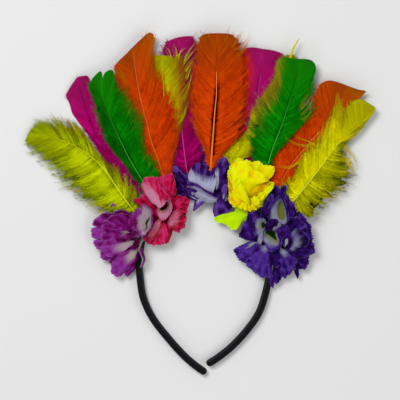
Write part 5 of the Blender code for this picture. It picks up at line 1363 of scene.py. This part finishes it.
# Big violet and white flower on the right, of the same satin: three open bowls in a crimped frill of
# petals in two tiers. It covers the feet of the last feathers on the right leg of the band.
BIG_VIOLET_PETALS = [
    # Painted shade: this first petal lies under all the others, and its darker tone stands for the shade
    # between them.
    ("outer", (0.0,), 3, 0.4, 1.0, (0.0,), (58.2, -31.2, 9.0),
     (48.4, -9.8, 12.0, 38.5, -20.5, 11.0, 36.9, -37.7, 10.0, 46.7, -52.5, 9.0, 63.1, -55.8, 9.0,
      76.3, -47.6, 9.5, 80.4, -32.8, 10.5, 71.3, -13.1, 12.5)),
    ("outer", (0.05,), 3, 1.0, 1.6, (0.25, 0.35, 0.3, 0.45), (57.4, -23.0, 12.0),
     (45.5, -19.7, 17.0, 45.4, -13.9, 17.5, 48.0, -7.0, 18.3, 52.1, 0.4, 18.5, 55.3, 5.3, 18.5,
      57.4, 7.4, 18.5, 60.4, 4.9, 18.5, 60.9, -1.6, 18.0)),
    ("outer", (0.05,), 3, 0.8, 1.2, (0.3,), (59.9, -23.0, 12.0),
     (60.1, -2.5, 18.0, 61.5, 4.1, 18.5, 63.5, 7.2, 18.3, 66.8, 6.4, 18.0, 65.2, 2.0, 18.0,
      63.1, -1.6, 18.0)),
    ("outer", (0.08,), 3, 1.0, 2.0, (0.25, 0.4, 0.35), (60.7, -31.2, 11.0),
     (62.7, -2.0, 18.0, 67.2, -0.8, 18.0, 70.4, -6.0, 17.7, 74.0, -10.7, 17.0, 77.3, -14.5, 16.3,
      80.2, -17.9, 15.5, 82.8, -21.3, 15.0)),
    ("outer", (0.12,), 3, 1.0, 3.2, (0.3, 0.4, 0.38), (62.3, -34.4, 14.0),
     (80.4, -18.3, 15.5, 85.7, -24.4, 14.5, 87.5, -29.5, 13.7, 87.6, -33.6, 13.0, 88.4, -36.9, 12.7,
      87.7, -40.2, 12.5)),
    ("outer", (0.15,), 3, 1.0, 3.0, (0.35, 0.4, 0.3), (64.0, -38.5, 13.0),
     (86.1, -38.1, 13.0, 89.2, -41.0, 12.5, 90.2, -46.7, 11.7, 87.5, -50.0, 11.0, 82.8, -51.9, 11.0,
      77.1, -52.1, 11.5)),
    ("outer", (0.05,), 4, 0.8, 2.3, (0.3, 0.15), (64.8, -42.6, 11.0),
     (85.5, -51.2, 10.0, 85.2, -55.8, 9.0, 84.2, -59.6, 8.3, 80.9, -62.0, 8.0, 77.1, -61.7, 8.0,
      73.8, -59.0, 9.0)),
    ("outer", (0.4,), 2, 0.4, 1.0, (0.15,), (70.5, -55.8, 8.5),
     (72.8, -61.9, 7.0, 74.6, -66.8, 6.5, 76.5, -70.1, 6.3, 77.2, -66.4, 6.5, 77.1, -61.9, 7.0)),
    ("outer", (0.15,), 5, 0.9, 3.0, (0.45, 0.6, 0.5), (60.7, -44.3, 12.5),
     (75.4, -57.4, 10.0, 72.7, -62.3, 9.3, 70.9, -64.5, 9.0, 68.1, -67.2, 8.7, 65.6, -69.2, 8.5,
      62.7, -67.0, 8.5, 60.9, -62.3, 9.5)),
    ("outer", (0.1,), 4, 0.8, 2.0, (0.1, 0.3), (57.4, -47.6, 11.5),
     (63.1, -62.3, 8.0, 62.9, -68.1, 7.6, 61.5, -71.9, 7.3, 58.2, -73.7, 7.0, 55.8, -71.3, 7.3,
      54.9, -64.8, 8.0)),
    ("outer", (0.45,), 2, 0.4, 1.0, (0.5,), (55.8, -55.8, 8.7),
     (56.3, -71.3, 7.0, 56.7, -74.6, 6.5, 55.5, -77.5, 6.5, 53.1, -73.0, 6.5, 52.8, -68.1, 7.0)),
    ("outer", (0.05,), 4, 1.0, 3.0, (0.3, 0.6, 0.8, 0.7, 0.6), (51.7, -42.6, 13.5),
     (54.7, -60.7, 10.0, 53.9, -67.6, 9.0, 50.0, -68.9, 8.5, 46.5, -68.4, 8.5, 42.0, -65.6, 8.5,
      38.5, -62.5, 9.0, 35.5, -60.2, 9.3, 32.6, -55.3, 10.0)),
    ("outer", (0.25,), 4, 0.8, 3.0, (0.55, 0.75, 0.85, 0.7), (47.6, -41.8, 13.5),
     (33.6, -55.8, 10.0, 30.3, -56.1, 10.3, 26.5, -51.9, 11.0, 23.2, -46.3, 11.5, 28.5, -42.3, 12.5,
      34.8, -39.7, 13.5, 38.5, -38.1, 14.0)),
    ("outer", (0.1,), 4, 1.0, 3.0, (0.3, 0.4, 0.3, 0.45), (46.7, -32.8, 13.5),
     (38.5, -38.3, 14.0, 35.7, -38.0, 13.5, 28.9, -35.8, 13.0, 28.1, -32.0, 13.3, 30.5, -26.4, 14.3,
      33.3, -21.6, 15.3, 34.6, -16.7, 16.0, 38.5, -15.1, 16.7, 42.6, -12.3, 17.5)),
    ("front", (0.05,), 3, 0.8, 2.0, (0.15, 0.3), (50.0, -21.3, 19.0),
     (45.4, -19.3, 21.0, 45.9, -13.5, 21.8, 48.8, -7.8, 23.3, 51.7, -4.1, 24.5, 53.5, -7.4, 24.7,
      52.5, -14.8, 23.5)),
    ("front", (0.35,), 2, 0.5, 1.2, (0.75,), (54.1, -14.8, 20.5),
     (49.4, -7.0, 23.0, 51.2, -2.5, 24.0, 54.8, -0.2, 25.0, 56.0, -4.9, 25.5)),
    ("front", (0.1,), 4, 0.9, 2.0, (0.45, 0.3, 0.5), (67.6, -23.0, 19.5),
     (65.9, -10.7, 26.0, 64.6, -2.9, 26.6, 66.7, -3.7, 25.6, 69.7, -8.2, 24.2, 72.7, -13.9, 22.3,
      70.5, -20.9, 20.7)),
    ("cup", (0.4, 0.5, 0.6, 0.65, 0.75, 0.95, 1.0, 0.9, 0.45, 0.3, 0.3), 6, 0.9, -0.6, (0.5,),
     (61.5, -5.7, 19.0, 59.5, -9.8, 19.0, 59.4, -15.6, 19.0, 60.9, -20.3, 19.5, 64.5, -20.3, 19.5,
      64.6, -13.9, 19.0, 63.3, -7.4, 19.0),
     (61.1, -1.2, 27.3, 56.6, -4.3, 26.8, 52.9, -8.6, 25.7, 51.0, -13.9, 24.3, 51.3, -19.7, 23.3,
      55.8, -22.5, 22.7, 61.5, -24.4, 22.7, 66.2, -24.0, 23.7, 67.9, -18.0, 25.2, 66.7, -11.5, 26.3,
      64.2, -4.9, 27.2), (0.5, 0.06)),
    ("cup", (0.75, 0.62, 0.6, 0.6, 0.65, 0.8, 0.95, 1.0, 1.0, 0.9), 4, 0.9, -0.6, (0.45,),
     (47.6, -23.1, 19.0, 46.4, -24.1, 19.0, 46.2, -25.9, 19.0, 47.2, -27.7, 19.0, 48.7, -27.6, 19.0,
      49.5, -26.1, 19.0, 49.0, -24.3, 19.0),
     (46.3, -18.7, 24.0, 42.2, -18.0, 22.7, 39.2, -20.9, 21.5, 38.5, -26.2, 20.7, 39.8, -31.6, 20.7,
      42.6, -34.6, 21.3, 45.7, -32.0, 22.3, 47.8, -28.5, 23.5, 50.3, -25.4, 24.7, 49.2, -21.7, 24.7),
     (1.0, 0.4)),
    ("front", (0.9,), 2, 0.4, 1.0, (0.8,),
     (50.0, -26.2, 23.5, 48.8, -30.3, 22.5),
     (45.5, -29.9, 21.5, 43.0, -36.1, 19.5, 42.4, -41.4, 17.5, 44.7, -43.0, 17.3, 46.7, -37.7, 20.0,
      48.4, -32.0, 22.3)),
    ("cup", (0.4, 0.7, 0.85, 0.85, 0.68, 0.58, 0.58, 0.55, 0.45, 0.4), 4, 1.1, -0.6, (0.6,),
     (54.1, -29.0, 19.5, 50.0, -29.3, 19.5, 49.2, -31.0, 19.5, 51.7, -33.0, 19.5, 54.9, -35.1, 19.5,
      58.2, -37.4, 19.5, 57.2, -33.6, 19.5, 56.3, -30.7, 19.5),
     (53.3, -28.2, 27.0, 48.8, -28.9, 25.7, 47.0, -32.8, 24.7, 47.2, -38.5, 23.7, 50.0, -43.7, 23.7,
      54.1, -46.7, 24.2, 59.0, -45.3, 25.2, 62.1, -40.6, 26.2, 61.5, -34.9, 27.2, 58.8, -30.3, 27.7),
     (1.0, 0.5)),
    ("front", (0.03,), 2, 0.5, 2.2, (0.05, 0.2),
     (49.6, -29.5, 26.0, 52.9, -29.9, 27.0, 56.6, -27.5, 27.0),
     (48.4, -25.8, 26.5, 50.6, -22.0, 28.5, 54.5, -20.0, 29.5, 58.8, -21.0, 29.0, 59.9, -24.6, 28.2)),
    ("front", (1.3,), 1, 0.4, 1.0, (0.3,),
     (54.9, -29.9, 26.5, 57.8, -28.9, 27.3),
     (55.3, -26.6, 28.0, 57.6, -24.1, 29.0, 60.7, -23.8, 28.7, 61.5, -27.3, 27.7), (0.1, 1.6)),
    ("front", (0.12,), 3, 1.1, 2.0, (0.5, 0.3, 0.2, 0.4, 0.55), (64.0, -42.6, 22.0),
     (60.3, -35.7, 27.5, 57.9, -29.5, 28.5, 60.9, -26.4, 29.0, 64.0, -24.8, 28.5, 68.2, -27.9, 26.7,
      69.9, -32.8, 25.2, 68.1, -37.7, 23.7)),
    ("front", (0.1,), 3, 0.8, 1.5, (0.1, 0.2), (64.8, -44.3, 20.0),
     (63.1, -36.5, 26.0, 65.6, -32.4, 26.5, 70.3, -34.4, 25.3, 71.1, -40.2, 22.3, 68.1, -45.5, 20.0)),
    ("front", (1.2,), 1, 0.3, 0.8, (0.6,), (64.9, -43.0, 24.5),
     (64.8, -37.3, 27.5, 66.7, -35.9, 28.0, 67.4, -39.8, 27.0)),
    ("front", (0.9, 0.85, 0.68, 0.55, 0.55, 0.65, 0.85), 5, 0.8, 2.3, (0.0, 0.1, 0.15, 0.0),
     (66.4, -42.6, 19.0),
     (68.9, -32.4, 23.3, 73.0, -28.3, 23.0, 78.7, -29.9, 21.3, 84.3, -34.9, 19.0, 84.5, -40.2, 18.0,
      78.7, -44.9, 18.0, 71.3, -47.1, 18.5), (0.08, 0.8)),
    ("front", (0.12,), 4, 1.1, 1.6, (0.2, 0.2, 0.4, 0.35, 0.3), (64.8, -36.1, 19.5),
     (65.6, -23.8, 26.3, 69.7, -18.9, 24.3, 74.6, -18.6, 21.7, 79.7, -22.8, 18.7, 83.9, -28.7, 17.2,
      82.8, -34.0, 17.0, 75.4, -34.4, 18.0)),
    ("front", (0.2,), 4, 1.1, 1.8, (0.3, 0.35, 0.25, 0.15), (64.8, -43.5, 18.0),
     (75.4, -45.9, 16.3, 83.6, -42.9, 15.2, 88.0, -46.7, 13.7, 83.6, -50.6, 13.0, 77.1, -53.3, 13.0,
      69.7, -53.7, 14.0)),
    ("front", (0.4, 0.35, 0.2), 4, 1.1, 2.5, (0.45, 0.7, 0.55, 0.65), (61.5, -43.5, 18.0),
     (69.7, -49.2, 16.3, 75.2, -54.1, 13.7, 72.7, -59.9, 12.2, 67.2, -62.9, 11.7, 61.9, -60.1, 12.7,
      59.0, -53.3, 14.5)),
    ("front", (0.12,), 3, 1.0, 2.0, (0.1, 0.3, 0.15), (57.4, -44.3, 18.7),
     (61.5, -48.4, 17.7, 62.5, -54.9, 14.7, 59.0, -60.1, 12.7, 54.5, -57.6, 13.5, 51.9, -51.7, 16.0,
      52.5, -46.7, 18.0)),
    ("front", (0.25,), 4, 1.1, 2.5, (0.4, 0.65, 0.85, 0.6, 0.7), (50.0, -41.8, 17.7),
     (53.3, -49.2, 17.2, 52.2, -56.6, 13.7, 46.7, -60.4, 12.2, 40.2, -58.0, 12.2, 36.7, -51.7, 13.2,
      37.1, -45.1, 15.2, 40.2, -41.2, 16.7)),
    # Painted highlight: this petal's wide white share and light tone.
    ("front", (0.65,), 2, 0.4, 1.2, (0.9,), (44.3, -38.9, 17.0),
     (39.4, -41.4, 16.3, 33.6, -44.3, 13.8, 28.5, -47.6, 12.3, 27.9, -44.9, 12.5, 33.6, -40.7, 14.8)),
]
BIG_VIOLET_CLOTH = petal_cloth("big_violet_cloth", (0.007, 0.0, 0.03), (0.023, 0.003, 0.10),
                               (0.060, 0.020, 0.22), (0.21, 0.215, 0.29), (0.17, 0.10, 0.32),
                               (0.006, 0.022, 0.004), (0.13, 0.145, 0.02), veins=0.5)
build_flower("flower_5_violet", BIG_VIOLET_PETALS, BIG_VIOLET_CLOTH, 51.7, -34.4, 13.0,
             "petal_violet", "petal_violet")


# Lime petal: one loose die-cut petal of thin satin, dyed lime green all over. It is glued flat under
# the yellow rose and hangs into the arch of the band.
LIME_ROOT = (32.8, -11.5, 11.4, 33.6, -14.8, 11.2)
LIME_RIM = (
    28.7, -8.2, 11.2, 23.8, -9.8, 11.0, 25.0, -14.4, 10.8, 18.9, -16.6, 10.2, 13.1, -17.1, 9.6,
    6.9, -19.9, 9.0, 9.8, -23.2, 9.0, 14.8, -24.2, 9.2, 18.9, -26.7, 9.4, 22.1, -29.1, 9.6, 26.5, -28.9, 9.9,
    30.3, -23.8, 10.4, 34.0, -20.5, 10.8, 35.4, -16.4, 11.2, 34.0, -12.7, 11.4,
)
LIME_SEED = 7
LIME_CLOTH = petal_cloth("lime_cloth", (0.28, 0.42, 0.0), (0.36, 0.58, 0.0), (0.42, 0.66, 0.002),
                         (0.4, 0.6, 0.0), (0.52, 0.74, 0.02), (0.3, 0.4, 0.0), (0.4, 0.5, 0.0))
lime = shape_petal(LIME_SEED, "outer", (0.0,), 5, 0.5, 1.2, (0.4, 0.7, 0.5), LIME_ROOT, LIME_RIM)
dress(gather([lime], "lime_leaf_petal"), "petal_lime", ("lime_petal",), LIME_CLOTH)


# Table top and light: a plain pale surface that the headdress lies on, one broad soft light from above
# and two weaker ones that open its shadows. None of them belongs to the headdress.
bpy.ops.mesh.primitive_plane_add(size=6.0, location=(0.0, 0.0, 0.0))
floor = bpy.context.object
floor.name = "pale_floor"
floor_paint = Paint("pale_floor_paint", Roughness=0.9)
floor.data.materials.append(floor_paint.set(Base_Color=(0.62, 0.62, 0.62)))

# name, place in metres, width in metres and power in watts
SOFT_LIGHTS = [
    ("key_light", (-0.5, 0.55, 1.3), 0.7, 17.0),
    ("fill_light", (0.9, -0.5, 1.1), 1.2, 7.0),
    ("front_light", (-0.3, -1.3, 0.9), 1.2, 5.0),
]
for name, place, width, power in SOFT_LIGHTS:
    bpy.ops.object.light_add(type="AREA", location=place)
    light = bpy.context.object
    light.name = name
    light.data.shape = "DISK"
    light.data.size = width
    light.data.energy = power
    light.rotation_euler = (-light.location).to_track_quat("-Z", "Y").to_euler()

world = bpy.context.scene.world or bpy.data.worlds.new("studio_world")
bpy.context.scene.world = world
world.use_nodes = True
background = world.node_tree.nodes["Background"]
background.inputs["Color"].default_value = (1.0, 1.0, 1.0, 1.0)
background.inputs["Strength"].default_value = 0.35
bpy.context.scene.view_settings.view_transform = "Standard"


# Camera: straight above the headdress, as far away as the photograph's flat perspective asks. Its
# view is as wide as the photograph's just above the table top.
SENSOR_WIDTH = 36.0
VIEW_DISTANCE = 1.49
VIEW_WIDTH = 0.328
bpy.ops.object.camera_add(location=(-0.0041, -0.0049, 1.5), rotation=(0.0, 0.0, 0.0))
camera = bpy.context.object
camera.data.sensor_width = SENSOR_WIDTH
camera.data.lens = SENSOR_WIDTH * VIEW_DISTANCE / VIEW_WIDTH
camera.data.clip_end = 50.0
bpy.context.scene.camera = camera
